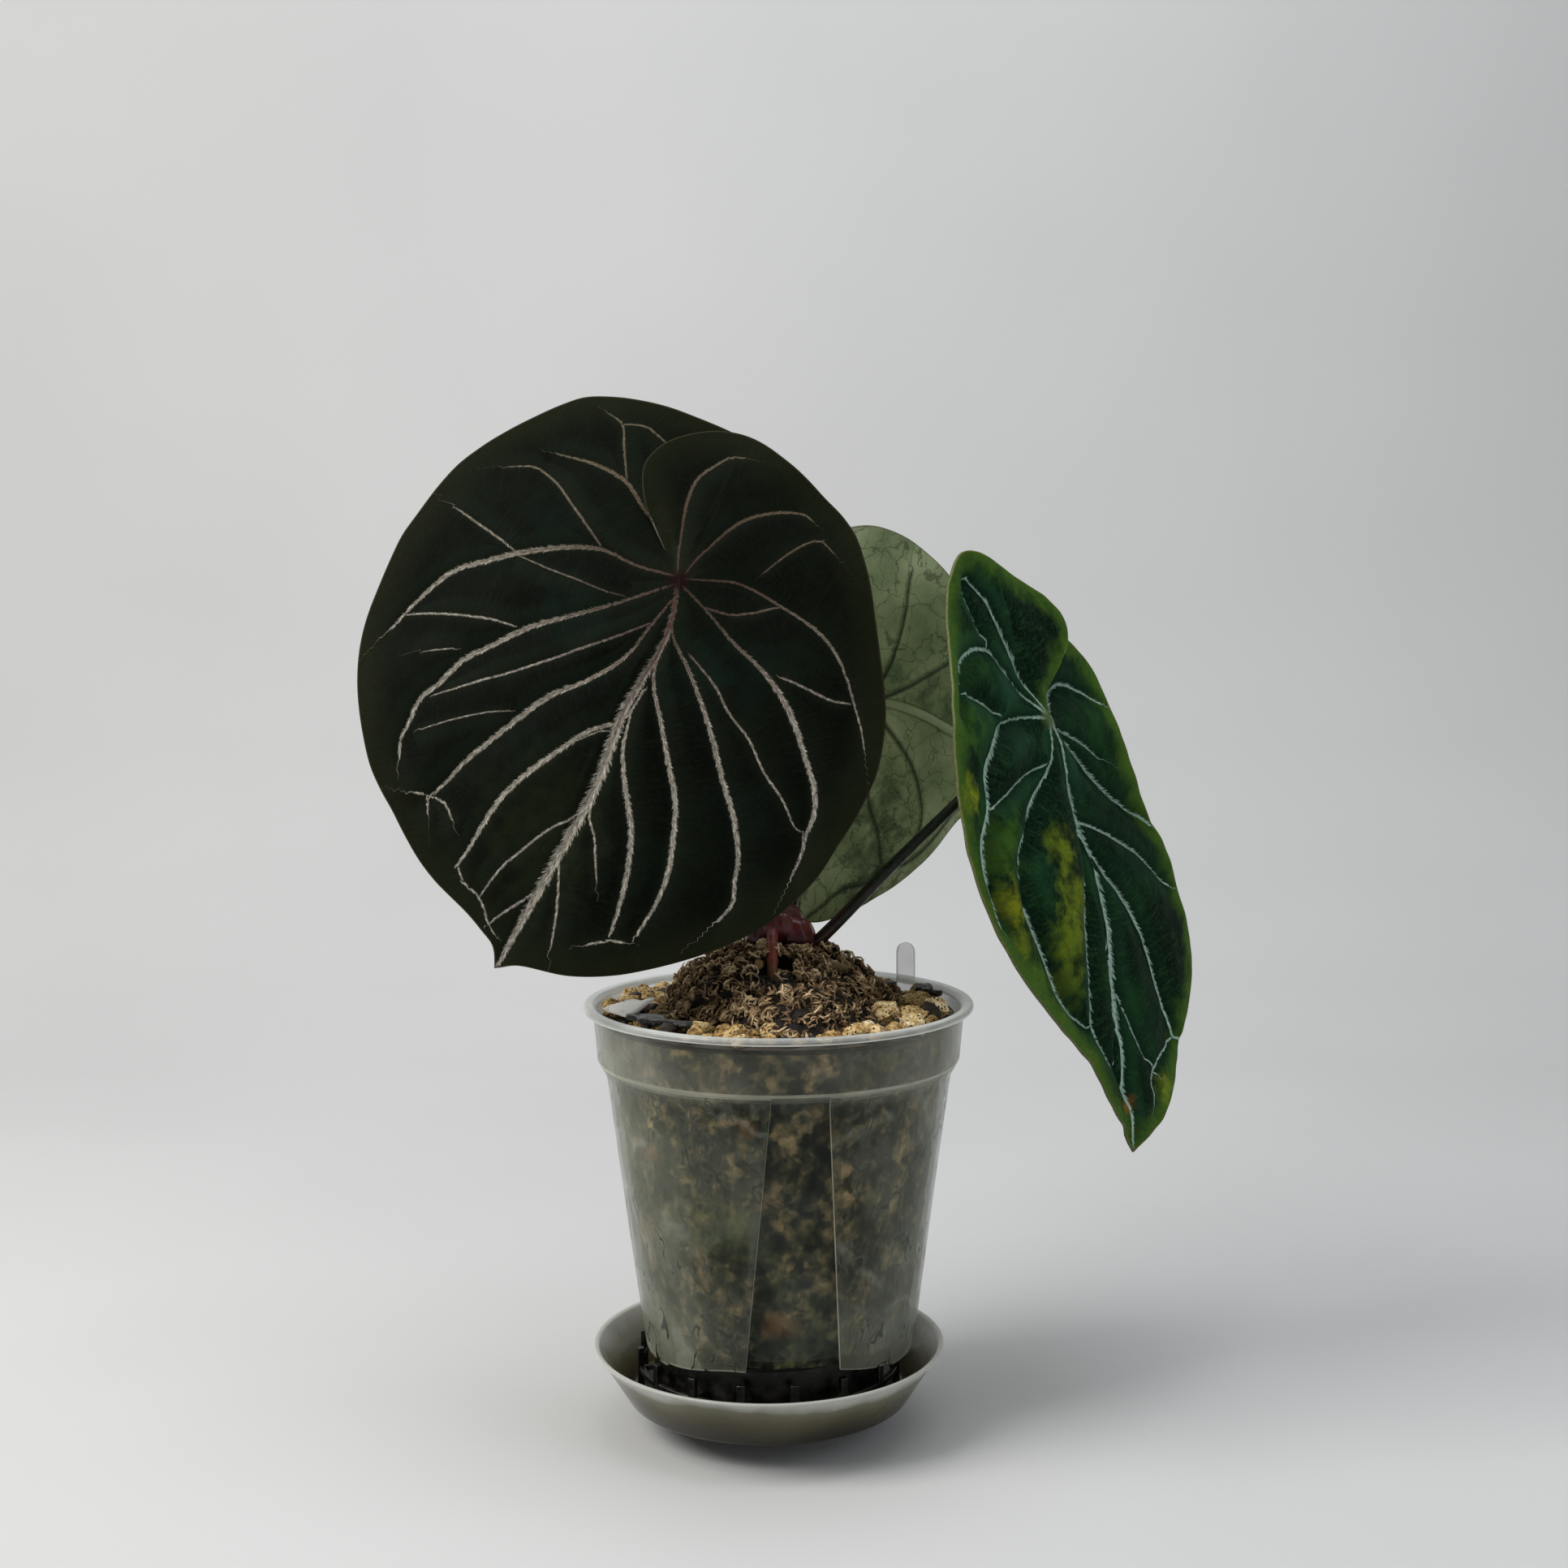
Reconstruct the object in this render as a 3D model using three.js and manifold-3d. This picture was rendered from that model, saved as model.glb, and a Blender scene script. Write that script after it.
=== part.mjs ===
// A king of spades anthurium in a clear slit pot, on a drainage basket in a shallow saucer.
// Millimetres, +Z up. The origin is the middle of the saucer's underside.
// The plant faces -Y, and +X is to its right.
import * as THREE from 'three';
import { mergeVertices } from 'three/addons/utils/BufferGeometryUtils.js';
import Module from 'manifold-3d';

const wasm = await Module();
wasm.setup();

// Driving dimensions
const FIT = 0.3;            // gap that touching pieces keep
const WELD = 1e-4;          // corners nearer than this are one
const POT_X = 3.5;          // the pot stands a little right of the saucer's middle
const RIM_R = 60;
const RIM_Z = 124.4;
const STEP_Z = 107.5;       // foot of the wide band under the rim
const BODY_TOP_R = 53.1;    // wall just under the band
const BODY_TOP_Z = 103;
const WALL_FOOT_R = 41.6;
const WALL_FOOT_Z = 17.6;   // lowest edge, at the sides
const WALL_FRONT_Z = 21.6;  // the flaps are cut shorter in front and behind
const WALL = 1;
const POT_SEGMENTS = 44;
const SLITS_HIGH = [-1.9, 14.6];    // outer edges of the two slits under the band
const SLITS_LOW = [-11.2, 18.4];    // and at the foot, as they slant apart
const FLAP_LAP = 2.2;       // the inset panel runs this far behind the flaps
const PANEL = 0.8;          // its thickness
const SAUCER_R = 54.7;
const SAUCER_FOOT_R = 43.8;
const SAUCER_H = 17.6;
const SAUCER_FLOOR = 1.6;
const BASKET_R = 41;
const DECK_R = 35.6;
const DECK_Z = 21;
const POSTS = 16;
const MIX_TOP_Z = 119;
const MOUND_H = 24.2;       // above the mix
const MOUND_R = 38;
const STRANDS = 34;         // raised curls of fibre on the mound
const STONES = 40;          // larger lumps of pumice
const BLADE = 0.9;          // leaf thickness
const BLADE_SPOKES = 54;    // steps round a blade's outline
const BLADE_RINGS = 6;      // steps from its petiole to its edge
const TUCK_SPAN = 1.8;      // radians of the fan over which the lobe behind comes forward again
const WIDEST_FAN = 6.14;    // just under a full turn, so lobes part near the petiole

// Where the leaves hold, and the way each upper face looks and each tip points
const FRONT_JOINT = [-25.5, -16, 252.6];
const FRONT_FACE = [-0.06, -0.94, 0.34];
const FRONT_TIP = [-0.42, -0.29, -0.86];
const BACK_JOINT = [33, 40, 213.5];
const BACK_FACE = [-0.5, 0.84, 0.2];
const BACK_TIP = [0.76, 0.54, -0.35];
const RIGHT_JOINT = [87.7, 12, 210];
const RIGHT_FACE = [0.79, -0.55, 0.26];
const RIGHT_TIP = [0.276, -0.055, -0.96];

const plastic = (color, roughness) => new THREE.MeshStandardMaterial({ color, roughness, metalness: 0 });
const clearPlastic = plastic(0x9aa093, 0.35);
const milkyPlastic = plastic(0x8f8c84, 0.4);
const blackPlastic = plastic(0x0b0b0b, 0.45);
const labelPlastic = plastic(0xc4cac2, 0.15);
const soil = plastic(0x2f2a1c, 0.95);
const fibre = plastic(0x4a3c28, 0.95);
const pumice = plastic(0xc9a864, 0.9);
const bark = plastic(0x0e0d0c, 0.8);
const fleece = plastic(0xd4d2cb, 0.95);
const wineStem = plastic(0x5a1f28, 0.5);
const rootSkin = plastic(0x4a2a20, 0.7);
const cutRoot = plastic(0xa08a5c, 0.8);
const greenStem = plastic(0x16200f, 0.5);
const darkLeaf = plastic(0x10190f, 0.6);
const palerLeaf = plastic(0x4a5a38, 0.6);
const brightLeaf = plastic(0x1f3a26, 0.5);

// The same value between 0 and 1 each time for one index and one salt
function chance(index, salt) {
  const wave = Math.sin(index * 12.9898 + salt * 78.233) * 43758.5453;
  return wave - Math.floor(wave);
}

function smooth(from, to, value) {
  const t = Math.min(Math.max((value - from) / (to - from), 0), 1);
  return t * t * (3 - 2 * t);
}

function toSolid(geometry) {
  const merged = mergeVertices(stripped(geometry), WELD);
  return new wasm.Manifold(new wasm.Mesh({
    numProp: 3,
    vertProperties: new Float32Array(merged.attributes.position.array),
    triVerts: new Uint32Array(merged.index.array),
  }));
}

function toGeometry(solid) {
  const mesh = solid.getMesh();
  const geometry = new THREE.BufferGeometry();
  geometry.setAttribute('position', new THREE.BufferAttribute(new Float32Array(mesh.vertProperties), 3));
  geometry.setIndex(new THREE.BufferAttribute(new Uint32Array(mesh.triVerts), 1));
  return geometry;
}

function union(solids) {
  return solids.reduce((whole, next) => whole.add(next));
}

// A closed ring or disc turned about the vertical through x = centre
function turned(profile, segments, centre = 0) {
  const points = profile.map(([r, z]) => new THREE.Vector2(r, z));
  points.push(points[0].clone());
  const geometry = new THREE.LatheGeometry(points, segments);
  geometry.rotateX(Math.PI / 2);
  geometry.translate(centre, 0, 0);
  return fixWinding(geometry);
}

// Turns a closed mesh's faces to point out
function fixWinding(geometry) {
  const merged = mergeVertices(stripped(geometry), WELD);
  const position = merged.attributes.position;
  const index = merged.index.array;
  const [a, b, c] = [new THREE.Vector3(), new THREE.Vector3(), new THREE.Vector3()];
  let volume = 0;
  const kept = [];
  for (let i = 0; i < index.length; i += 3) {
    if (index[i] === index[i + 1] || index[i + 1] === index[i + 2] || index[i] === index[i + 2]) continue;
    a.fromBufferAttribute(position, index[i]);
    b.fromBufferAttribute(position, index[i + 1]);
    c.fromBufferAttribute(position, index[i + 2]);
    volume += a.dot(b.cross(c));
    kept.push(index[i], index[i + 1], index[i + 2]);
  }
  if (volume < 0) {
    for (let i = 0; i < kept.length; i += 3) [kept[i], kept[i + 1]] = [kept[i + 1], kept[i]];
  }
  merged.setIndex(kept);
  return merged;
}

function stripped(geometry) {
  const bare = geometry.clone();
  for (const name of Object.keys(bare.attributes)) {
    if (name !== 'position') bare.deleteAttribute(name);
  }
  return bare;
}

function box(w, d, h, x, y, z) {
  return new THREE.BoxGeometry(w, d, h).translate(x, y, z);
}

// A round stalk along a route, with its own radius at each end
function stalk(route, footR, topR, sides, steps) {
  const curve = new THREE.CatmullRomCurve3(route.map((p) => new THREE.Vector3(...p)));
  const frames = curve.computeFrenetFrames(steps, false);
  const geometry = new THREE.CylinderGeometry(topR, footR, 1, sides, steps);
  const position = geometry.attributes.position;
  for (let i = 0; i < position.count; i++) {
    const row = Math.round((position.getY(i) + 0.5) * steps);
    const point = curve.getPointAt(row / steps);
    point.addScaledVector(frames.normals[row], position.getX(i));
    point.addScaledVector(frames.binormals[row], position.getZ(i));
    position.setXYZ(i, point.x, point.y, point.z);
  }
  return fixWinding(geometry);
}

// A rough lump: a ball of few faces with each corner moved in or out
function lump(index, salt, width, depth, height, detail = 0) {
  const geometry = mergeVertices(stripped(new THREE.IcosahedronGeometry(0.5, detail)), WELD);
  const position = geometry.attributes.position;
  for (let i = 0; i < position.count; i++) {
    const swell = 0.82 + 0.36 * chance(i + index * 17, salt);
    position.setXYZ(
      i,
      position.getX(i) * swell * width,
      position.getY(i) * swell * depth,
      position.getZ(i) * swell * height,
    );
  }
  return geometry.rotateZ(chance(index, salt + 5) * Math.PI);
}

// Saucer and drainage basket
function saucer() {
  const profile = [
    [0, 0], [SAUCER_FOOT_R - 2, 0], [SAUCER_FOOT_R, 1.1], [SAUCER_FOOT_R + 5, SAUCER_H * 0.52],
    [SAUCER_R - 1.4, SAUCER_H - 1.6], [SAUCER_R, SAUCER_H - 0.9],
    [SAUCER_R - 0.2, SAUCER_H], [SAUCER_R - 1.7, SAUCER_H - 0.2],
    [SAUCER_FOOT_R + 3.5, SAUCER_H * 0.54], [SAUCER_FOOT_R - 0.9, SAUCER_FLOOR + 0.7],
    [SAUCER_FOOT_R - 2.2, SAUCER_FLOOR], [0, SAUCER_FLOOR],
  ];
  return turned(profile, 40);
}

function drainageBasket() {
  const foot = SAUCER_FLOOR + FIT;
  const postTop = WALL_FOOT_Z - 0.2;
  const ring = (inner, outer, low, high) => toSolid(turned(
    [[inner, low], [outer, low], [outer, high], [inner, high]],
    24,
  ));
  const parts = [
    ring(33.9, BASKET_R - 0.2, foot, foot + 1.6),
    ring(39, BASKET_R - 0.2, 10, 11.8),
    ring(33.9, DECK_R, foot, DECK_Z),
    toSolid(turned([[0, DECK_Z - 1.6], [DECK_R, DECK_Z - 1.6], [DECK_R, DECK_Z], [0, DECK_Z]], 24)),
  ];
  for (let i = 0; i < POSTS; i++) {
    const angle = (i + 0.5) * 2 * Math.PI / POSTS;
    const post = box(1.9, 2.4, postTop - foot, BASKET_R - 0.8, 0, (postTop + foot) / 2);
    parts.push(toSolid(post.rotateZ(angle)));
    if (i % 2 === 0) {
      const arm = box(6.6, 1.4, 1.4, DECK_R + 1.6, 0, 10.9);
      parts.push(toSolid(arm.rotateZ(angle)));
    }
  }
  for (let i = 0; i < 3; i++) {
    const rib = box(2 * DECK_R - 2, 1.6, DECK_Z - foot - 0.8, 0, 0, (DECK_Z + foot - 0.8) / 2);
    parts.push(toSolid(rib.rotateZ(i * Math.PI / 3)));
  }
  return toGeometry(union(parts));
}

// Clear pot: rim, band, step and a tapering wall that two slits part into flaps in front
const WALL_SLOPE = (BODY_TOP_R - WALL_FOOT_R) / (BODY_TOP_Z - WALL_FOOT_Z);
const wallRadius = (z) => BODY_TOP_R + (z - BODY_TOP_Z) * WALL_SLOPE;

// The window between two slanting slits, from the front of the pot to its middle
function slitWindow(widen, low, high, side = 1) {
  const outline = new THREE.Shape([
    new THREE.Vector2(SLITS_HIGH[0] - widen, high),
    new THREE.Vector2(SLITS_LOW[0] - widen, low),
    new THREE.Vector2(SLITS_LOW[1] + widen, low),
    new THREE.Vector2(SLITS_HIGH[1] + widen, high),
  ]);
  const geometry = new THREE.ExtrudeGeometry(outline, { depth: 70, bevelEnabled: false });
  geometry.rotateX(Math.PI / 2);
  if (side < 0) geometry.rotateZ(Math.PI);
  return toSolid(fixWinding(geometry.translate(POT_X, 0, 0)));
}

function panelShell(extra, low, high) {
  const outer = (z) => wallRadius(z) - WALL - FIT + extra;
  const inner = (z) => wallRadius(z) - WALL - FIT - PANEL - extra;
  const profile = [
    [inner(low), low], [outer(low), low], [outer(STEP_Z - 6), STEP_Z - 6],
    [54.2 + extra, STEP_Z - 0.4], [54.2 + extra, high], [53.2 - extra, high], [inner(STEP_Z - 6), STEP_Z - 6],
  ];
  return toSolid(turned(profile, POT_SEGMENTS, POT_X));
}

function pot() {
  const lipDrop = 2.3;
  const bandTopR = 57;
  const bandFootR = 55.7;
  const profile = [
    [wallRadius(WALL_FOOT_Z) - WALL, WALL_FOOT_Z], [wallRadius(WALL_FOOT_Z), WALL_FOOT_Z],
    [wallRadius(60), 60], [BODY_TOP_R, BODY_TOP_Z],
    [bandFootR - 0.7, STEP_Z - 1.2], [bandFootR, STEP_Z], [bandTopR, RIM_Z - lipDrop],
    [RIM_R - 0.3, RIM_Z - lipDrop + 0.3], [RIM_R, RIM_Z - 0.9], [RIM_R - 0.5, RIM_Z],
    [RIM_R - 2.9, RIM_Z], [bandTopR - 1.1, RIM_Z - 1.4],
    [bandFootR - 1.1, STEP_Z + 0.3], [BODY_TOP_R - 1, BODY_TOP_Z + 0.4], [wallRadius(60) - WALL, 60],
  ];
  let shell = toSolid(turned(profile, POT_SEGMENTS, POT_X));
  const trimFoot = (side) => {
    const arch = new THREE.Shape();
    arch.moveTo(-34, WALL_FOOT_Z - 2);
    arch.lineTo(34, WALL_FOOT_Z - 2);
    arch.lineTo(34, WALL_FOOT_Z + 1);
    arch.quadraticCurveTo(26, WALL_FRONT_Z + 0.6, 14, WALL_FRONT_Z + 0.3);
    arch.lineTo(-14, WALL_FRONT_Z);
    arch.quadraticCurveTo(-28, WALL_FRONT_Z, -34, WALL_FOOT_Z + 1);
    const geometry = new THREE.ExtrudeGeometry(arch, { depth: 70, bevelEnabled: false, curveSegments: 4 });
    geometry.rotateX(Math.PI / 2);
    if (side < 0) geometry.rotateZ(Math.PI);
    return toSolid(fixWinding(geometry.translate(POT_X, 0, 0)));
  };
  for (const side of [1, -1]) {
    shell = shell.subtract(trimFoot(side)).subtract(slitWindow(0, 10, STEP_Z - 1.2, side));
    const behindSlits = slitWindow(FLAP_LAP, 12, STEP_Z + 2, side);
    shell = shell.add(panelShell(0, 25.1, STEP_Z + 1.5).intersect(behindSlits));
  }
  return toGeometry(shell);
}

// Filling: the mix, the fibrous root mound on it, and what lies on top
function labelBody(extra) {
  const [width, thick, foot, top] = [6.1, 1.6, 109.5, 137];
  const outline = new THREE.Shape();
  const half = width / 2 + extra;
  outline.moveTo(-half, foot - extra);
  outline.lineTo(half, foot - extra);
  outline.lineTo(half, top - half);
  outline.absarc(0, top - half, half, 0, Math.PI, false);
  const depth = thick + 2 * extra;
  const geometry = new THREE.ExtrudeGeometry(outline, { depth, bevelEnabled: false, curveSegments: 8 });
  geometry.rotateX(Math.PI / 2).translate(0, depth / 2, 0);
  return fixWinding(geometry.rotateZ(-0.5).translate(44.6, 31, 0));
}

function pottingMix() {
  const inside = (z) => wallRadius(z) - WALL - FIT;
  const profile = [
    [0, DECK_Z + FIT], [38, DECK_Z + FIT], [inside(26), 26], [inside(60), 60],
    [inside(BODY_TOP_Z), BODY_TOP_Z], [54, STEP_Z + 1], [54.8, MIX_TOP_Z], [0, MIX_TOP_Z],
  ];
  let body = toSolid(turned(profile, 40, POT_X));
  for (const side of [1, -1]) {
    const behindSlits = slitWindow(FLAP_LAP + FIT, 10, STEP_Z + 3, side);
    body = body.subtract(panelShell(FIT, 20, STEP_Z + 3).intersect(behindSlits));
  }
  return toGeometry(body.subtract(toSolid(labelBody(FIT))));
}

// Radius of the mound's foot: it reaches furthest in front, a little right of the middle
function moundFoot(azimuth) {
  const off = (azimuth - 0.16) / 0.5;
  return MOUND_R * (1 + 0.3 * Math.exp(-off * off)) + 0.9 * Math.sin(azimuth * 5);
}

// Height of the mound over the mix at a share of the way out to its foot
function moundHeight(share, azimuth) {
  const dome = MOUND_H * Math.pow(Math.cos(Math.min(share, 1) * Math.PI / 2), 0.62);
  return dome + 0.7 * Math.sin(azimuth * 7 + share * 9) * smooth(0, 0.4, share);
}

function moundPoint(share, azimuth) {
  const r = moundFoot(azimuth) * share;
  return new THREE.Vector3(
    POT_X + r * Math.sin(azimuth),
    -r * Math.cos(azimuth),
    MIX_TOP_Z + FIT + moundHeight(share, azimuth),
  );
}

function moundCore(extra = 0) {
  const segments = 24;
  const shares = [0, 0.22, 0.42, 0.62, 0.8, 0.93, 0.985];
  const positions = [];
  for (const share of shares) {
    for (let i = 0; i < segments; i++) {
      const azimuth = i * 2 * Math.PI / segments;
      const p = moundPoint(share, azimuth);
      const out = extra * smooth(0.3, 0.9, share);
      positions.push(p.x + out * Math.sin(azimuth), p.y - out * Math.cos(azimuth), p.z + extra);
    }
  }
  for (let i = 0; i < segments; i++) {
    const azimuth = i * 2 * Math.PI / segments;
    const r = moundFoot(azimuth) + extra;
    positions.push(POT_X + r * Math.sin(azimuth), -r * Math.cos(azimuth), MIX_TOP_Z + FIT - extra * 2);
  }
  const index = [];
  const rows = shares.length + 1;
  for (let row = 0; row < rows - 1; row++) {
    for (let i = 0; i < segments; i++) {
      const [a, b] = [row * segments + i, row * segments + (i + 1) % segments];
      index.push(a, b, a + segments, b, b + segments, a + segments);
    }
  }
  const last = (rows - 1) * segments;
  for (let i = 1; i < segments - 1; i++) index.push(last, last + i, last + i + 1);
  const geometry = new THREE.BufferGeometry();
  geometry.setAttribute('position', new THREE.Float32BufferAttribute(positions, 3));
  geometry.setIndex(index);
  return fixWinding(geometry);
}

// One curly strand of fibre lying on the mound, its ends sunk in
function moundStrand(index) {
  const azimuth = index * 2.39996;
  const share = 0.16 + 0.76 * Math.sqrt(chance(index, 1));
  const turn = chance(index, 2) * Math.PI * 2;
  const length = 7 + 6 * chance(index, 3);
  const route = [-0.5, -0.15, 0.2, 0.5].map((t, i) => {
    const along = t * length;
    const curl = 1.6 * Math.sin(i * 2.1 + index);
    const dAzimuth = (along * Math.cos(turn) - curl * Math.sin(turn)) / (moundFoot(azimuth) * share + 6);
    const dShare = (along * Math.sin(turn) + curl * Math.cos(turn)) / moundFoot(azimuth);
    const at = moundPoint(Math.min(Math.max(share + dShare, 0.03), 0.96), azimuth + dAzimuth);
    const lift = [-0.9, 0.45, 0.35, -0.9][i];
    return [at.x, at.y, at.z + lift];
  });
  return stalk(route, 0.75, 0.6, 3, 3);
}

function rootMound(sockets) {
  let body = toSolid(moundCore());
  for (let i = 0; i < STRANDS; i++) body = body.add(toSolid(moundStrand(i)));
  body = body.intersect(toSolid(box(160, 160, 60, POT_X, 0, MIX_TOP_Z + FIT + 30)));
  const rootHollow = new THREE.SphereGeometry(1, 10, 7).scale(9.5, 8.5, 6.5).translate(3, -21.5, 138.6);
  body = body.subtract(toSolid(rootHollow));
  for (const socket of sockets) body = body.subtract(socket);
  return toGeometry(largest(body));
}

function largest(solid) {
  const pieces = solid.decompose();
  return pieces.reduce((best, next) => (next.volume() > best.volume() ? next : best));
}

// Pumice between the mound and the pot, half sunk in a thin bed of grit
const STONE_GAPS = [
  { from: -1.02, to: -0.55 },   // bark flakes show in front at the left
  { from: -0.1, to: 0.42 },     // the mound comes out to the wall
];
function topDressing(cuts) {
  const bedHigh = MIX_TOP_Z + 1.7;
  const bed = toSolid(turned(
    [[37, MIX_TOP_Z + FIT], [54.5, MIX_TOP_Z + FIT], [54.7, bedHigh], [37, bedHigh]],
    32,
    POT_X,
  ));
  const stones = [];
  for (let i = 0; i < STONES; i++) {
    const azimuth = -Math.PI + (i + 0.5) * 2 * Math.PI / STONES;
    const inGap = STONE_GAPS.some((gap) => azimuth > gap.from && azimuth < gap.to);
    const row = i % 2;
    const size = (5.4 + 2.6 * chance(i, 7)) * (inGap ? 0.55 : 1);
    const r = row ? 50.6 - size / 12 : 44.2;
    const stone = lump(i, 11, size * 1.15, size, size * 0.85);
    const high = bedHigh + size * (row ? 0.1 : 0.2);
    stone.translate(POT_X + r * Math.sin(azimuth), -r * Math.cos(azimuth), high);
    stones.push(toSolid(stone));
  }
  let body = bed.add(union(stones));
  body = body.intersect(toSolid(turned(
    [[30, MIX_TOP_Z + FIT], [54.5, MIX_TOP_Z + FIT], [55.1, 128], [30, 128]],
    32,
    POT_X,
  )));
  for (const cut of cuts) body = body.subtract(cut);
  return toGeometry(largest(body));
}

// Thin black flakes of bark, lapped over each other on the stones
const leftFlakes = [
  { x: -33.5, y: -31.5, w: 12.5, d: 6.4, turn: -0.8, tilt: 0.12 },
  { x: -25, y: -36.5, w: 11.5, d: 5.6, turn: -0.5, tilt: -0.1 },
  { x: -38.5, y: -25, w: 9, d: 5.4, turn: -1, tilt: -0.14 },
];
const rightFlakes = [
  { x: 49.5, y: 16.5, w: 7.4, d: 5.4, turn: -0.9, tilt: 0.2 },
  { x: 51.8, y: 12, w: 7, d: 5, turn: -0.6, tilt: -0.16 },
];
function barkFlakes(flakes, extra = 0) {
  const solids = flakes.map((flake, i) => {
    const plate = new THREE.CylinderGeometry(0.5, 0.44, 1, 7).rotateX(Math.PI / 2);
    plate.scale(flake.w + 2 * extra, flake.d + 2 * extra, 1.7 + 2 * extra).rotateY(flake.tilt);
    plate.rotateZ(flake.turn).translate(flake.x, flake.y, MIX_TOP_Z + 5.6 - 0.35 * i);
    return toSolid(fixWinding(plate));
  });
  return union(solids);
}

// White fleece packet, a soft flat pillow with one raised corner
function fleecePacket(extra = 0) {
  const geometry = new THREE.BoxGeometry(14.5 + 2 * extra, 11 + 2 * extra, 2.2 + 2 * extra, 6, 5, 1);
  const position = geometry.attributes.position;
  for (let i = 0; i < position.count; i++) {
    const [x, y, z] = [position.getX(i), position.getY(i), position.getZ(i)];
    const edge = Math.max(Math.abs(x) / (7.25 + extra), Math.abs(y) / (5.5 + extra));
    const pinch = z * (1 - 0.62 * edge ** 3);
    const corner = 2.6 * smooth(2, 13, x + y);
    position.setXYZ(i, x, y, pinch + corner + 0.3 * Math.sin(x * 0.8) * Math.cos(y * 0.9));
  }
  geometry.rotateX(0.16).rotateZ(-0.98).translate(-41.2, -15.5, MIX_TOP_Z + 5.1);
  return fixWinding(geometry);
}

// Plant: the red crown, roots, petioles and blades
const CROWN_ROUTE = [[6.5, 1, 129], [5, -0.5, 138], [3.6, -1.5, 146], [2.6, -0.5, 153]];
const BUDS = [
  { at: [8.6, -2.6, 144.5], size: [6.6, 5.6, 6] },
  { at: [-1, -2.4, 144.8], size: [5.5, 5, 5.6] },
  { at: [4.6, 3.4, 147], size: [7, 6, 7.5] },
  { at: [3.4, -4.6, 147.6], size: [5.4, 4.4, 5.2] },
];
const budHollow = (bud) => toSolid(new THREE.SphereGeometry(4.9, 10, 8).translate(...bud.at));
const crownCore = (extra) => toSolid(stalk(CROWN_ROUTE, 6.2 + extra, 4.6 + extra, 12, 8));

function crown(sockets) {
  let body = crownCore(0);
  BUDS.forEach((bud, i) => {
    body = body.add(toSolid(lump(i, 31, ...bud.size, 1).translate(...bud.at)));
  });
  for (const socket of sockets) body = body.subtract(socket);
  return largest(body);
}

const ROOT_ROUTE = [
  [1.8, -5.5, 148], [1.8, -10, 145.6], [1.8, -14.6, 141], [1.8, -17.8, 135.5], [2, -20, 129.5],
];
const aerialRoot = (extra) => stalk(ROOT_ROUTE, 1.75 + extra, 1.6 + extra, 8, 8);

// Two old roots cut off short, one seen end on and one lying across
const STUB_ROUTES = {
  left: [[-0.5, -8, 136.4], [-2.4, -16.5, 138.3]],
  right: [[13.5, -13.5, 138.2], [24.5, -14.5, 136.3]],
};
const stub = (name, extra) => stalk(STUB_ROUTES[name], 1.7 + extra, 1.6 + extra, 8, 2);

const faceDirection = (face) => new THREE.Vector3(...face).normalize();

// A petiole runs to the back of its blade and ends square to it
function petioleRoute(route, joint, face) {
  const back = faceDirection(face).multiplyScalar(-1);
  const end = new THREE.Vector3(...joint).addScaledVector(back, BLADE / 2 + 1.5 * FIT);
  const before = new THREE.Vector3(...joint).addScaledVector(back, 5);
  return [...route, before.toArray(), end.toArray()];
}
const PETIOLES = {
  front: petioleRoute(
    [[3.2, -0.5, 148], [-2, -1, 165], [-10, -2.5, 190], [-19, -5, 222], [-25, -6, 244]],
    FRONT_JOINT,
    FRONT_FACE,
  ),
  back: petioleRoute([[5, 3.2, 145.5], [9, 7, 158], [16, 13, 178], [26, 24, 200]], BACK_JOINT, BACK_FACE),
  right: petioleRoute(
    [[9.5, -1.8, 137.8], [17.4, -2, 144.6], [38, 0, 165.3], [58.8, 3.5, 185], [75, 11, 199.5]],
    RIGHT_JOINT,
    RIGHT_FACE,
  ),
};
const petiole = (name, extra) => stalk(PETIOLES[name], 2.05 + extra, 1.25 + extra, 8, 16);

// Blades. An outline runs from the left lobe's inner edge round the tip to the right lobe's,
// seen from the upper face with the lobes up; the petiole holds at 0, 0.
const frontOutline = [
  [14, 38], [7, 47], [-4, 51.8], [-20, 52.6], [-36, 51], [-54, 46], [-61, 40.5], [-67.5, 33.5], [-73.5, 25.5],
  [-78, 18], [-81.5, 10.5], [-84, 1.5], [-86, -8.5], [-87.5, -17], [-87.3, -27.5], [-86.6, -37], [-85.6, -45],
  [-83.3, -53], [-79.5, -61.5], [-74, -70.5], [-67.8, -78.8], [-61.8, -85.8], [-55.8, -90.8], [-49.5, -95.2],
  [-42.5, -100.5], [-35, -105.5], [-28, -109], [-22, -111.2], [-15.5, -113.5], [-9, -116.5], [-4.5, -119],
  [-1.5, -124.5], [4, -121.5], [20, -118], [32, -112.5], [44, -104], [55, -94], [64.5, -82.5], [68.3, -75.5],
  [71.2, -68.5], [73.4, -61.5], [74.7, -53], [76, -45], [76.6, -37], [76.5, -29], [75.3, -22.3], [72, -11.7],
  [69, -5.5], [64.5, 2.3], [57, 14.6], [52, 22.6], [47, 29.2], [41.5, 35.3], [35, 39.6], [28.5, 42.4],
  [21, 45.7], [13, 48.4], [0, 51], [-12, 49.5], [-20, 43.5], [-25.5, 34],
];
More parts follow.
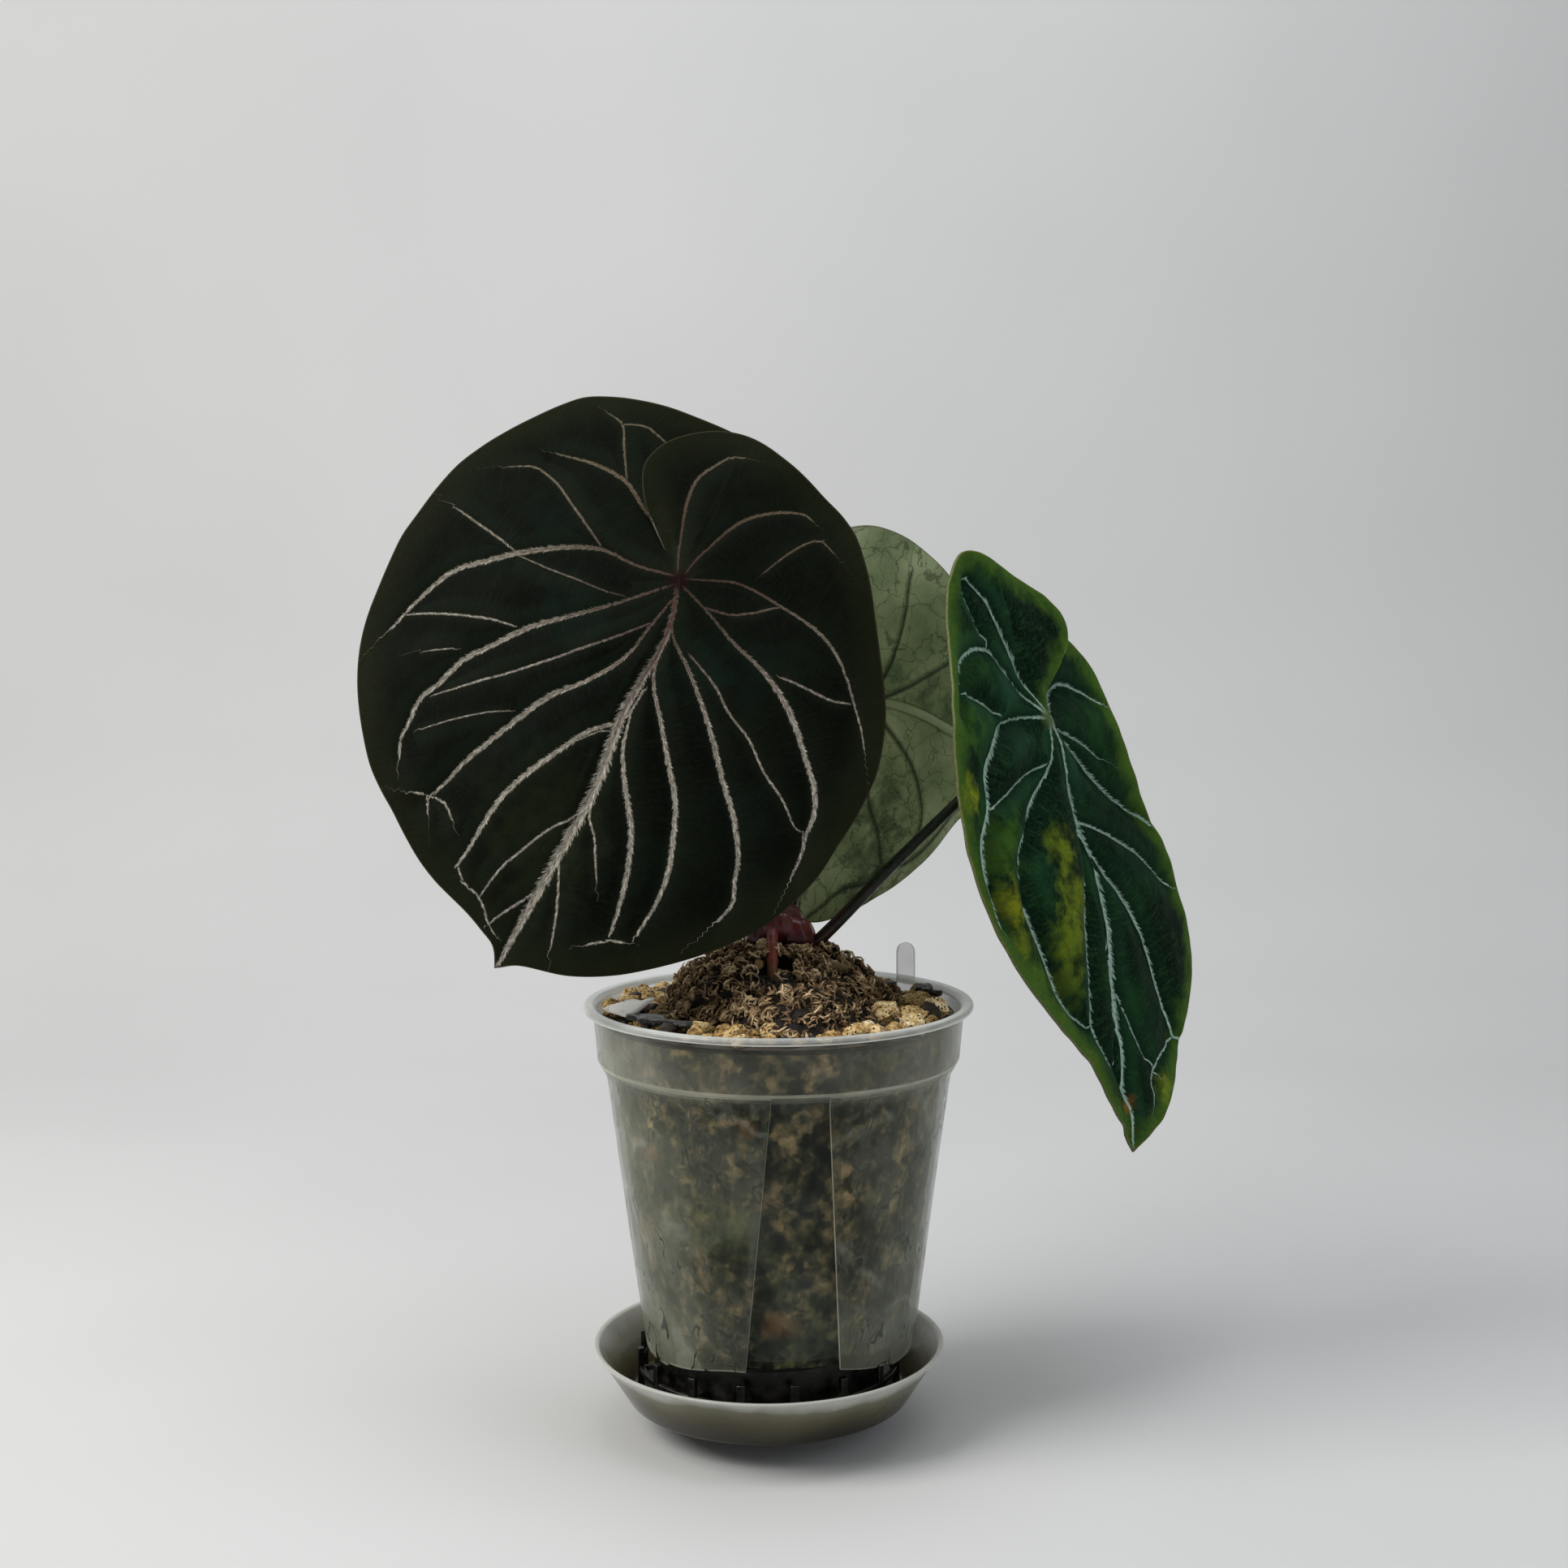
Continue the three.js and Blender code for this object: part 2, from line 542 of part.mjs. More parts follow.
const rightOutline = [
  [33, 28.3], [29, 32.5], [24, 37.5], [17, 42.5], [8, 47.5], [-1, 53], [-11.5, 56.5], [-18.5, 56],
  [-29, 49.5], [-35.5, 42], [-42, 31.5], [-48, 22], [-53.5, 12.5], [-57.5, 1.5], [-60.5, -9.5],
  [-62.5, -19.5],
  [-64.5, -31], [-64.5, -42.5], [-61.5, -54], [-57.5, -66], [-52, -74], [-45.5, -81], [-39.5, -87.5],
  [-33.5, -93.5], [-28, -99.5], [-24, -104], [-20.5, -111], [-16.5, -119], [-12, -125], [-6.5, -130.5],
  [-4.5, -138], [6, -135.7], [15.5, -133.5], [24.5, -128], [33.5, -120], [44, -111], [55.5, -101.5],
  [62.5, -92], [65, -81.5], [64, -71], [63.5, -62], [61, -52.5], [56, -43], [52.5, -32.5], [50, -22.5],
  [48.7, -12.5], [49, -4], [49.3, 4], [48.5, 9.5], [46, 14], [42, 18], [36.5, 22], [28, 27],
  [19, 29.5], [9, 28],
];
const backOutline = [
  [-3, 30], [-7, 41], [-18, 46], [-32, 46], [-44, 41], [-51, 31], [-53.5, 17], [-51.5, 2], [-47, -12],
  [-40, -30], [-30, -50], [-18, -68], [-8, -80], [0, -92], [4, -80], [11, -66], [22, -54.5], [39, -46.5],
  [53, -37], [64, -26.5], [72.5, -14], [73, -1], [68, 13], [58, 27], [45, 38], [30, 43.5], [16, 42], [7, 32],
];
// Main veins, which lie in shallow valleys between the swollen panels
const frontVeins = [
  [[0, 0], [4, -21], [3, -42], [4, -73], [0, -121]],
  [[0, 0], [-25, 1], [-50, -10], [-70, -29], [-76, -45]],
  [[0, 0], [-16, -15], [-43, -38], [-56, -61], [-54, -80]],
  [[0, -18], [-19, -47], [-35, -75], [-40, -88]],
  [[0, 0], [-18, 17], [-38, 25], [-53, 24]],
  [[0, 0], [16, 6], [38, 5], [58, -6], [70, -23]],
  [[0, 0], [33, -14], [56, -33], [65, -53], [67, -65]],
  [[5, -15], [31, -41], [50, -68], [53, -86]],
  [[5, -31], [27, -61], [34, -91]],
];
const rightVeins = [
  [[0, 0], [5, -33], [9, -58], [0, -95], [-6, -134]],
  [[0, 0], [-25, 3], [-43, -10], [-56, -33], [-58, -53]],
  [[0, 0], [-19, -22], [-40, -52], [-36, -76], [-21, -94]],
  [[0, 0], [-7, 29], [-15, 49]],
  [[0, 0], [13, 9], [35, 3]],
  [[0, 0], [19, -20], [46, -40]],
  [[4, -37], [24, -65], [35, -100], [34, -113]],
];
const backVeins = [
  [[0, 0], [-2, -30], [0, -85]],
  [[0, 0], [14, -20], [30, -35], [48, -33]],
  [[0, 0], [24, -8], [44, -20], [60, -24]],
  [[0, 0], [-18, -16], [-34, -30]],
  [[0, 0], [-22, 2], [-44, 8]],
  [[0, 0], [-10, 16], [-26, 30]],
  [[0, 0], [22, 12], [46, 20]],
];

function distanceToVeins(veins, x, y) {
  let nearest = Infinity;
  for (const vein of veins) {
    for (let i = 0; i + 1 < vein.length; i++) {
      const [ax, ay] = vein[i];
      const [dx, dy] = [vein[i + 1][0] - ax, vein[i + 1][1] - ay];
      const t = Math.min(Math.max(((x - ax) * dx + (y - ay) * dy) / (dx * dx + dy * dy), 0), 1);
      nearest = Math.min(nearest, Math.hypot(x - ax - t * dx, y - ay - t * dy));
    }
  }
  return nearest;
}

// Even steps along each side of an outline, which meet in a sharp tip
function rimOf(outline) {
  const tip = outline.reduce((low, point) => (point[1] < low[1] ? point : low));
  const at = outline.indexOf(tip);
  return [outline.slice(0, at + 1), outline.slice(at)].flatMap((side, i) => {
    const curve = new THREE.CatmullRomCurve3(side.map(([x, y]) => new THREE.Vector3(x, y, 0)));
    return curve.getSpacedPoints(BLADE_SPOKES / 2).slice(i);
  });
}

// Overlapping lobes are squeezed apart near the petiole, and one is tucked behind further out
function bladeGeometry(leaf) {
  const rimPoints = rimOf(leaf.outline);
  const angles = [];
  rimPoints.forEach((p, i) => {
    let angle = Math.atan2(-p.x, p.y);
    if (i > 0) angle += 2 * Math.PI * Math.round((angles[i - 1] - angle) / (2 * Math.PI));
    angles.push(angle);
  });
  const [first, last] = [angles[0], angles[angles.length - 1]];
  const middle = (first + last) / 2;
  const narrow = Math.min(1, WIDEST_FAN / (last - first));
  const frame = new THREE.Matrix4();
  const zAxis = faceDirection(leaf.face);
  const yAxis = new THREE.Vector3(...leaf.tip).negate();
  yAxis.addScaledVector(zAxis, -yAxis.dot(zAxis)).normalize();
  frame.makeBasis(new THREE.Vector3().crossVectors(yAxis, zAxis), yAxis, zAxis).setPosition(...leaf.joint);
  const rows = [];
  for (let ring = 1; ring <= BLADE_RINGS; ring++) {
    const share = (ring / BLADE_RINGS) ** 0.85;
    const squeeze = narrow + (1 - narrow) * smooth(0.2, 0.6, share);
    rows.push(rimPoints.map((p, i) => {
      const angle = middle + (angles[i] - middle) * squeeze;
      const r = Math.hypot(p.x, p.y) * share;
      const [x, y] = [-r * Math.sin(angle), r * Math.cos(angle)];
      const fromEdge = leaf.tucked === 'left' ? angles[i] - first : last - angles[i];
      const tuck = leaf.tuck * Math.max(1 - fromEdge / TUCK_SPAN, 0) * smooth(0.2, 0.45, share);
      return new THREE.Vector3(x, y, leaf.height(x, y, share) - tuck);
    }));
  }
  const positions = [];
  const push = (p, side) => {
    const at = p.clone().setZ(p.z + side * BLADE / 2).applyMatrix4(frame);
    positions.push(at.x, at.y, at.z);
  };
  const across = BLADE_SPOKES + 1;
  for (const side of [1, -1]) {
    push(new THREE.Vector3(0, 0, leaf.height(0, 0, 0)), side);
    rows.forEach((row) => row.forEach((p) => push(p, side)));
  }
  const below = 1 + across * BLADE_RINGS;
  const at = (ring, spoke) => (ring === 0 ? 0 : 1 + (ring - 1) * across + spoke);
  const index = [];
  const quad = (a, b, c, d) => index.push(a, b, c, a, c, d);
  for (let spoke = 0; spoke < BLADE_SPOKES; spoke++) {
    index.push(0, at(1, spoke), at(1, spoke + 1));
    index.push(below, below + at(1, spoke + 1), below + at(1, spoke));
    for (let ring = 1; ring < BLADE_RINGS; ring++) {
      const [a, b] = [at(ring, spoke), at(ring + 1, spoke)];
      const [c, d] = [at(ring + 1, spoke + 1), at(ring, spoke + 1)];
      index.push(a, b, c, a, c, d);
      index.push(below + a, below + c, below + b, below + a, below + d, below + c);
    }
    const [rimA, rimB] = [at(BLADE_RINGS, spoke), at(BLADE_RINGS, spoke + 1)];
    quad(rimA, below + rimA, below + rimB, rimB);
  }
  for (let ring = 0; ring < BLADE_RINGS; ring++) {
    const [a, b] = [at(ring, 0), at(ring + 1, 0)];
    quad(a, below + a, below + b, b);
    const [c, d] = [at(ring, BLADE_SPOKES), at(ring + 1, BLADE_SPOKES)];
    quad(d, below + d, below + c, c);
  }
  const geometry = new THREE.BufferGeometry();
  geometry.setAttribute('position', new THREE.Float32BufferAttribute(positions, 3));
  geometry.setIndex(index);
  return fixWinding(geometry);
}

// Each blade bows back at its edges, tip and lobes, sinks along its veins and waves at the rim
function bladeHeight(shape) {
  return (x, y, share) => {
    const bow = -shape.side * x * x - shape.tip * Math.max(-y - shape.tipFrom, 0) ** 2
      - shape.lobes * Math.max(y, 0) ** 2;
    const valley = shape.valley * Math.exp(-distanceToVeins(shape.veins, x, y) / 6) * smooth(0, 0.3, share);
    const wave = shape.wave * Math.sin(Math.atan2(x, -y) * shape.waves) * smooth(0.6, 1, share);
    return bow - valley + wave;
  };
}
const LEAVES = {
  front: {
    outline: frontOutline, joint: FRONT_JOINT, face: FRONT_FACE, tip: FRONT_TIP, tucked: 'left', tuck: 5,
    height: bladeHeight({
      side: 0.0016, tip: 0.0011, tipFrom: 20, lobes: 0.0012,
      valley: 1.6, wave: 0.9, waves: 7, veins: frontVeins,
    }),
  },
  back: {
    outline: backOutline, joint: BACK_JOINT, face: BACK_FACE, tip: BACK_TIP, tucked: 'left', tuck: 1,
    height: bladeHeight({
      side: 0.0006, tip: 0.0008, tipFrom: 30, lobes: 0.001,
      valley: 2, wave: 0.8, waves: 6, veins: backVeins,
    }),
  },
  right: {
    outline: rightOutline, joint: RIGHT_JOINT, face: RIGHT_FACE, tip: RIGHT_TIP, tucked: 'right', tuck: 5,
    height: bladeHeight({
      side: 0.0005, tip: 0.0008, tipFrom: 30, lobes: 0.0012,
      valley: 3, wave: 0.9, waves: 6, veins: rightVeins,
    }),
  },
};

const part = new THREE.Group();
const add = (name, geometry, material) => {
  const mesh = new THREE.Mesh(geometry, material);
  mesh.name = name;
  part.add(mesh);
};

const petioleSockets = ['front', 'back', 'right'].map((name) => toSolid(petiole(name, FIT)));
const crownSolid = crown([...petioleSockets, toSolid(aerialRoot(FIT))]);
const moundCut = toSolid(moundCore(FIT + 0.6));
const stubSolid = (name) => toSolid(stub(name, 0)).subtract(crownCore(FIT));
const packetCut = toSolid(fleecePacket(FIT));
const flakeCuts = [barkFlakes(leftFlakes, FIT), barkFlakes(rightFlakes, FIT)];
const labelCut = toSolid(labelBody(FIT));

add('saucer', saucer(), milkyPlastic);
add('drainage_basket', drainageBasket(), blackPlastic);
add('pot', pot(), clearPlastic);
add('potting_mix', pottingMix(), soil);
add('root_mound', rootMound([
  crownCore(FIT), toSolid(aerialRoot(FIT)), ...petioleSockets,
  toSolid(stub('left', FIT)), toSolid(stub('right', FIT)), ...BUDS.map(budHollow),
]), fibre);
add('top_dressing', topDressing([moundCut, packetCut, ...flakeCuts, labelCut]), pumice);
add('bark_flakes_left', toGeometry(barkFlakes(leftFlakes).subtract(packetCut)), bark);
add('bark_flakes_right', toGeometry(barkFlakes(rightFlakes)), bark);
add('fleece_packet', fleecePacket(), fleece);
add('plant_label', labelBody(0), labelPlastic);
add('crown', toGeometry(crownSolid), wineStem);
add('aerial_root', aerialRoot(0), rootSkin);
add('cut_root_left', toGeometry(largest(stubSolid('left'))), cutRoot);
add('cut_root_right', toGeometry(largest(stubSolid('right'))), cutRoot);
add('front_petiole', petiole('front', 0), greenStem);
add('back_petiole', petiole('back', 0), greenStem);
add('right_petiole', petiole('right', 0), greenStem);
add('front_leaf', bladeGeometry(LEAVES.front), darkLeaf);
add('back_leaf', bladeGeometry(LEAVES.back), palerLeaf);
add('right_leaf', bladeGeometry(LEAVES.right), brightLeaf);

export default part;
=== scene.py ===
import math
import random

import bmesh
import bpy
import numpy as np
from mathutils import Matrix, Vector, noise


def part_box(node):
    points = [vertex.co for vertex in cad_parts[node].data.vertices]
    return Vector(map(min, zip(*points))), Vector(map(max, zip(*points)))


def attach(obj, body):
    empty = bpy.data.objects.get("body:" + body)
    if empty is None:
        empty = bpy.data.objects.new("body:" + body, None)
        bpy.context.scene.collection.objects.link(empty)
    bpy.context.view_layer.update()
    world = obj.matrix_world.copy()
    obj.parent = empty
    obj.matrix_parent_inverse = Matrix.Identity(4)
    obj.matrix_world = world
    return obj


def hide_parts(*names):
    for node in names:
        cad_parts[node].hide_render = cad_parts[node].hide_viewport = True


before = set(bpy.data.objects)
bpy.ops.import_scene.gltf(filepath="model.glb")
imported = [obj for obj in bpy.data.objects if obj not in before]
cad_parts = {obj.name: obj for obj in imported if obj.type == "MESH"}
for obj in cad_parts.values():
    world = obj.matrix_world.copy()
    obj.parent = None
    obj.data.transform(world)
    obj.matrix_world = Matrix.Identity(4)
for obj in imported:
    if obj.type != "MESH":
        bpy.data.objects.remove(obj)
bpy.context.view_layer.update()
rimLow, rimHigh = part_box("pot")
saucerLow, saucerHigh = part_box("saucer")

# Sizes are in mm until a piece is finished; patterns on Object coordinates and the stage are in metres
potX = (rimLow.x + rimHigh.x) * 500
rimZ = rimHigh.z * 1000
rimR = (rimHigh.x - rimLow.x) * 500
saucerR = (saucerHigh.x - saucerLow.x) * 500
saucerZ = saucerHigh.z * 1000


def smooth(low, high, value):
    share = np.clip((value - low) / (high - low), 0, 1)
    return share * share * (3 - 2 * share)


def unit(vectors):
    length = np.linalg.norm(vectors, axis=-1, keepdims=True)
    return vectors / np.maximum(length, 1e-9)


# Points at even steps along a soft curve through the given ones
def splineThrough(points, steps):
    points = np.array(points, float)
    ends = [2 * points[0] - points[1]], [2 * points[-1] - points[-2]]
    padded = np.vstack([ends[0], points, ends[1]])
    share = np.linspace(0, 1, 16, endpoint=False)[:, None]
    dense = []
    for before, start, end, after in zip(padded, padded[1:], padded[2:], padded[3:]):
        gapA = np.linalg.norm(start - before) ** 0.5
        gapB = np.linalg.norm(end - start) ** 0.5
        gapC = np.linalg.norm(after - end) ** 0.5
        leave = end - start + gapB * ((start - before) / gapA - (end - before) / (gapA + gapB))
        arrive = end - start + gapB * ((after - end) / gapC - (after - start) / (gapB + gapC))
        bend = 3 * (end - start) - 2 * leave - arrive
        twist = 2 * (start - end) + leave + arrive
        dense.append(start + leave * share + bend * share**2 + twist * share**3)
    dense = np.vstack(dense + [points[-1:]])
    travelled = np.concatenate([[0], np.cumsum(np.linalg.norm(np.diff(dense, axis=0), axis=1))])
    wanted = np.linspace(0, travelled[-1], steps + 1)
    return np.stack([np.interp(wanted, travelled, column) for column in dense.T], axis=1)


# A flat grid, with the column and the row of each corner
def flatGrid(bm, columns, rows):
    made = bmesh.ops.create_grid(bm, x_segments=columns, y_segments=rows, size=0.5)["verts"]
    flat = np.array([vert.co[:2] for vert in made])
    column = np.rint((flat[:, 0] + 0.5) * columns).astype(int)
    row = np.rint((flat[:, 1] + 0.5) * rows).astype(int)
    return made, column, row


def moveTo(verts, points):
    for vert, point in zip(verts, points):
        vert.co = point


# A grid whose corners go where place(column, row) says
def gridInto(bm, columns, rows, place):
    made, column, row = flatGrid(bm, columns, rows)
    moveTo(made, place(column, row))
    return made, column, row


# Angle of a column, where the last one closes on the first
def turnOf(column, count):
    return column % count / count * 2 * math.pi


# Places round the pot's axis, with azimuth 0 in front
def aroundPot(radius, azimuth, z):
    return np.stack([potX + radius * np.sin(azimuth), -radius * np.cos(azimuth), z], axis=-1)


# Noise at points, in layers of (scale, strength)
def lumpsAt(points, *layers):
    return np.array([sum(noise.noise(Vector(p) * scale) * share for scale, share in layers) for p in points])


# Many tubes at once, each along its own route
def tubesInto(bm, routes, radii, sides):
    routes = np.array(routes, float)
    radii = np.array(radii, float)
    along = unit(np.gradient(routes, axis=1))
    whole = unit(routes[:, -1] - routes[:, 0])
    spare = np.where(np.abs(whole[:, 2:]) > 0.7, [[1.0, 0, 0]], [[0, 0, 1.0]])
    across = unit(np.cross(along, spare[:, None]))
    upward = np.cross(across, along)
    routes = np.concatenate([routes[:, :1], routes, routes[:, -1:]], axis=1)
    across = np.concatenate([across[:, :1], across, across[:, -1:]], axis=1)
    upward = np.concatenate([upward[:, :1], upward, upward[:, -1:]], axis=1)
    radii = np.pad(radii, ((0, 0), (1, 1)))
    count, steps = radii.shape
    columns = count * (sides + 1) - 1

    def place(column, row):
        strand, side = np.divmod(column, sides + 1)
        angle = side % sides * 2 * np.pi / sides
        swing = np.cos(angle)[:, None] * across[strand, row] + np.sin(angle)[:, None] * upward[strand, row]
        return routes[strand, row] + radii[strand, row][:, None] * swing

    made, column, row = flatGrid(bm, columns, steps - 1)
    owner = dict(zip(made, column // (sides + 1)))
    faces = {face for vert in made for face in vert.link_faces}
    links = [face for face in faces if len({owner[vert] for vert in face.verts}) > 1]
    bmesh.ops.delete(bm, geom=links, context="FACES")
    moveTo(made, place(column, row))
    return made, column // (sides + 1), row


# Corners of a turned outline, each swapped for a small curve
def rounded(profile, size, steps=3):
    soft = []
    for i, corner in enumerate(profile):
        corner = np.array(corner, float)
        if corner[0] < 0.01:
            soft.append(tuple(corner))
            continue
        before = np.array(profile[i - 1], float)
        after = np.array(profile[(i + 1) % len(profile)], float)
        reach = min(size, np.linalg.norm(before - corner) * 0.45, np.linalg.norm(after - corner) * 0.45)
        start = corner + unit(before - corner) * reach
        end = corner + unit(after - corner) * reach
        for step in range(steps + 1):
            t = step / steps
            soft.append(tuple(start * (1 - t) ** 2 + corner * 2 * t * (1 - t) + end * t * t))
    return soft


def turnedInto(bm, profile, centre, steps):
    verts = [bm.verts.new((r + centre, 0, z)) for r, z in profile]
    edges = [bm.edges.new(pair) for pair in zip(verts, verts[1:] + verts[:1])]
    spin = {"cent": (centre, 0, 0), "axis": (0, 0, 1), "angle": 2 * math.pi, "steps": steps}
    bmesh.ops.spin(bm, geom=verts + edges, use_merge=True, **spin)


def boxInto(bm, at, size, turn=0):
    matrix = Matrix.Rotation(turn, 4, "Z") @ Matrix.Translation(at) @ Matrix.Diagonal((*size, 1))
    bmesh.ops.create_cube(bm, size=1, matrix=matrix)


def ballInto(bm, detail):
    return bmesh.ops.create_icosphere(bm, subdivisions=detail, radius=1)["verts"]


# Faces of an open wall, all turned away from an upright axis
def faceOut(bm, centre):
    for face in bm.faces:
        face.normal_update()
        outward = face.calc_center_median() - Vector((centre, 0, 0))
        if face.normal.xy.dot(outward.xy) < 0:
            face.normal_flip()


# A broken stone: a ball cut back by flat sides, then pitted
def stoneInto(bm, at, size, salt, detail, flats, pits):
    pick = random.Random(salt)
    made = ballInto(bm, detail)
    cuts = []
    for _ in range(flats):
        side = Vector([pick.uniform(-1, 1) for _ in range(3)]).normalized()
        cuts.append((side, pick.uniform(0.58, 0.9)))
    turn = Matrix.Rotation(pick.uniform(0, 6.3), 3, "Z") @ Matrix.Rotation(pick.uniform(-0.5, 0.5), 3, "X")
    shift = Vector((salt * 3.7, salt * 1.3, 0))
    for vert in made:
        spot = vert.co.copy()
        for side, limit in cuts:
            over = spot.dot(side) - limit
            if over > 0:
                spot -= side * over * 0.97
        spot *= 1.2 + 0.2 * noise.noise(vert.co * 1.7 + shift)
        spot *= 1 + pits * noise.noise(vert.co * 5 + shift) - pits * abs(noise.noise(vert.co * 9 + shift))
        spot = turn @ Vector((spot.x * size[0], spot.y * size[1], spot.z * size[2]))
        vert.co = spot + Vector(at)
    return made


def linkPiece(name, mesh, materials, nodes, angle):
    for material in materials:
        mesh.materials.append(material)
    mesh.shade_smooth()
    mesh.set_sharp_from_angle(angle=math.radians(angle))
    piece = bpy.data.objects.new(name, mesh)
    bpy.context.scene.collection.objects.link(piece)
    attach(piece, "root")
    if nodes:
        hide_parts(*nodes)
    print("made", name, len(mesh.polygons), "faces")
    return piece


def finishPiece(name, bm, materials, nodes, angle, merge=0.0005, outward=True):
    if merge:
        bmesh.ops.remove_doubles(bm, verts=bm.verts, dist=merge)
    if outward:
        bmesh.ops.recalc_face_normals(bm, faces=bm.faces)
    bmesh.ops.scale(bm, vec=(0.001, 0.001, 0.001), verts=bm.verts)
    mesh = bpy.data.meshes.new(name)
    bm.to_mesh(mesh)
    bm.free()
    return linkPiece(name, mesh, materials, nodes, angle)


def tubePiece(name, route, radii, sides, material, node, angle):
    bm = bmesh.new()
    tubesInto(bm, [route], [radii], sides)
    finishPiece(name, bm, [material], [node], angle)


def addBevel(piece, width, segments=2, angle=35):
    bevel = piece.modifiers.new("softEdges", "BEVEL")
    bevel.width = width * 0.001
    bevel.segments = segments
    bevel.limit_method = "ANGLE"
    bevel.angle_limit = math.radians(angle)
    bevel.harden_normals = False


# Gives an open wall its thickness; other and edge say how many materials on its other side and edge are
def addShell(piece, thickness, other=0, edge=0):
    shell = piece.modifiers.new("shell", "SOLIDIFY")
    shell.thickness = thickness * 0.001
    shell.offset = 0
    shell.material_offset = other
    shell.material_offset_rim = edge


def colour(code):
    parts = [int(code[i:i + 2], 16) / 255 for i in (0, 2, 4)]
    return (*[p / 12.92 if p <= 0.04045 else ((p + 0.055) / 1.055) ** 2.4 for p in parts], 1)


# One material, built node by node
class Look:
    def __init__(self, name):
        self.material = bpy.data.materials.new(name)
        self.material.use_nodes = True
        self.tree = self.material.node_tree
        self.tree.nodes.clear()
        output = self.tree.nodes.new("ShaderNodeOutputMaterial")
        self.surface = self.tree.nodes.new("ShaderNodeBsdfPrincipled")
        self.tree.links.new(self.surface.outputs[0], output.inputs[0])

    def feed(self, socket, value):
        if isinstance(value, bpy.types.NodeSocket):
            self.tree.links.new(value, socket)
        elif isinstance(value, str):
            socket.default_value = colour(value)
        else:
            socket.default_value = value

    def add(self, kind, inputs=(), output=0, **settings):
        node = self.tree.nodes.new(kind)
        for key, value in settings.items():
            setattr(node, key, value)
        for key, value in dict(inputs).items():
            self.feed(node.inputs[key], value)
        return node.outputs[output]

    def set(self, **values):
        for key, value in values.items():
            self.feed(self.surface.inputs[key.replace("_", " ")], value)
        return self

    def place(self):
        return self.add("ShaderNodeTexCoord", output="Object")

    def attribute(self, name, output="Vector"):
        return self.add("ShaderNodeAttribute", output=output, attribute_name=name)

    def math(self, operation, *values):
        return self.add("ShaderNodeMath", dict(enumerate(values)), operation=operation)

    def times(self, first, second):
        return self.math("MULTIPLY", first, second)

    def plus(self, first, second):
        return self.math("ADD", first, second)

    def minus(self, first, second):
        return self.math("SUBTRACT", first, second)

    def distance(self, first, second):
        return self.add("ShaderNodeVectorMath", {0: first, 1: second}, "Value", operation="DISTANCE")

    def between(self, value, low, high, start=0.0, end=1.0):
        inputs = {0: value, 1: low, 2: high, 3: start, 4: end}
        return self.add("ShaderNodeMapRange", inputs, interpolation_type="SMOOTHSTEP")

    def split(self, vector):
        node = self.tree.nodes.new("ShaderNodeSeparateXYZ")
        self.feed(node.inputs[0], vector)
        return node.outputs

    def join(self, x, y, z=0.0):
        return self.add("ShaderNodeCombineXYZ", {0: x, 1: y, 2: z})

    def stretch(self, vector, scale):
        return self.add("ShaderNodeMapping", {"Vector": vector, "Scale": scale})

    def facing(self):
        return self.add("ShaderNodeLayerWeight", {"Blend": 0.5}, "Facing")

    def noise(self, vector, scale, detail=3.0, roughness=0.5):
        inputs = {"Vector": vector, "Scale": scale, "Detail": detail, "Roughness": roughness}
        return self.add("ShaderNodeTexNoise", inputs)

    def cells(self, vector, scale, feature="F1", output="Distance", **more):
        inputs = {"Vector": vector, "Scale": scale, **more}
        return self.add("ShaderNodeTexVoronoi", inputs, output, feature=feature)

    def mix(self, factor, first, second):
        return self.add("ShaderNodeMix", {0: factor, 6: first, 7: second}, 2, data_type="RGBA")

    # A ground tinted with a colour as a value goes from low to high
    def tint(self, ground, code, value, low, high, amount=1.0):
        return self.mix(self.between(value, low, high, 0.0, amount), ground, code)

    def ramp(self, factor, *stops):
        node = self.tree.nodes.new("ShaderNodeValToRGB")
        self.feed(node.inputs[0], factor)
        while len(node.color_ramp.elements) < len(stops):
            node.color_ramp.elements.new(0.5)
        for element, (position, code) in zip(node.color_ramp.elements, stops):
            element.position = position
            element.color = colour(code)
        return node.outputs[0]

    def bump(self, height, strength, distance):
        inputs = {"Height": height, "Strength": strength, "Distance": distance}
        return self.add("ShaderNodeBump", inputs)


# Scratches, swirls and a fog at the foot of old plastic: adds to its cover and its colour
def addMarks(look, place, cloud, cover, base):
    wander = look.add("ShaderNodeVectorMath", {0: place, 1: (1, 1, 0.55)}, 0, operation="MULTIPLY")
    wander = look.noise(wander, 62, 3.0, 0.55)
    gate = look.between(look.noise(place, 120, 2.0), 0.5, 0.55)
    scratch = look.between(look.math("ABSOLUTE", look.minus(wander, 0.5)), 0.016, 0.006)
    scratch = look.times(scratch, gate)
    swirl = look.between(look.math("ABSOLUTE", look.minus(cloud, 0.53)), 0.03, 0.0)
    swirl = look.times(swirl, look.between(look.noise(place, 45, 2.0), 0.5, 0.6))
    height = look.plus(look.split(place)[2], look.times(cloud, 0.03))
    cover = look.plus(cover, look.between(height, 0.075, 0.03, 0.0, 0.12))
    cover = look.plus(cover, look.times(swirl, 0.08))
    cover = look.plus(cover, look.times(scratch, 0.6))
    base = look.mix(scratch, look.mix(look.times(swirl, 0.5), base, "b6bbac"), "1e2614")
    return cover, base


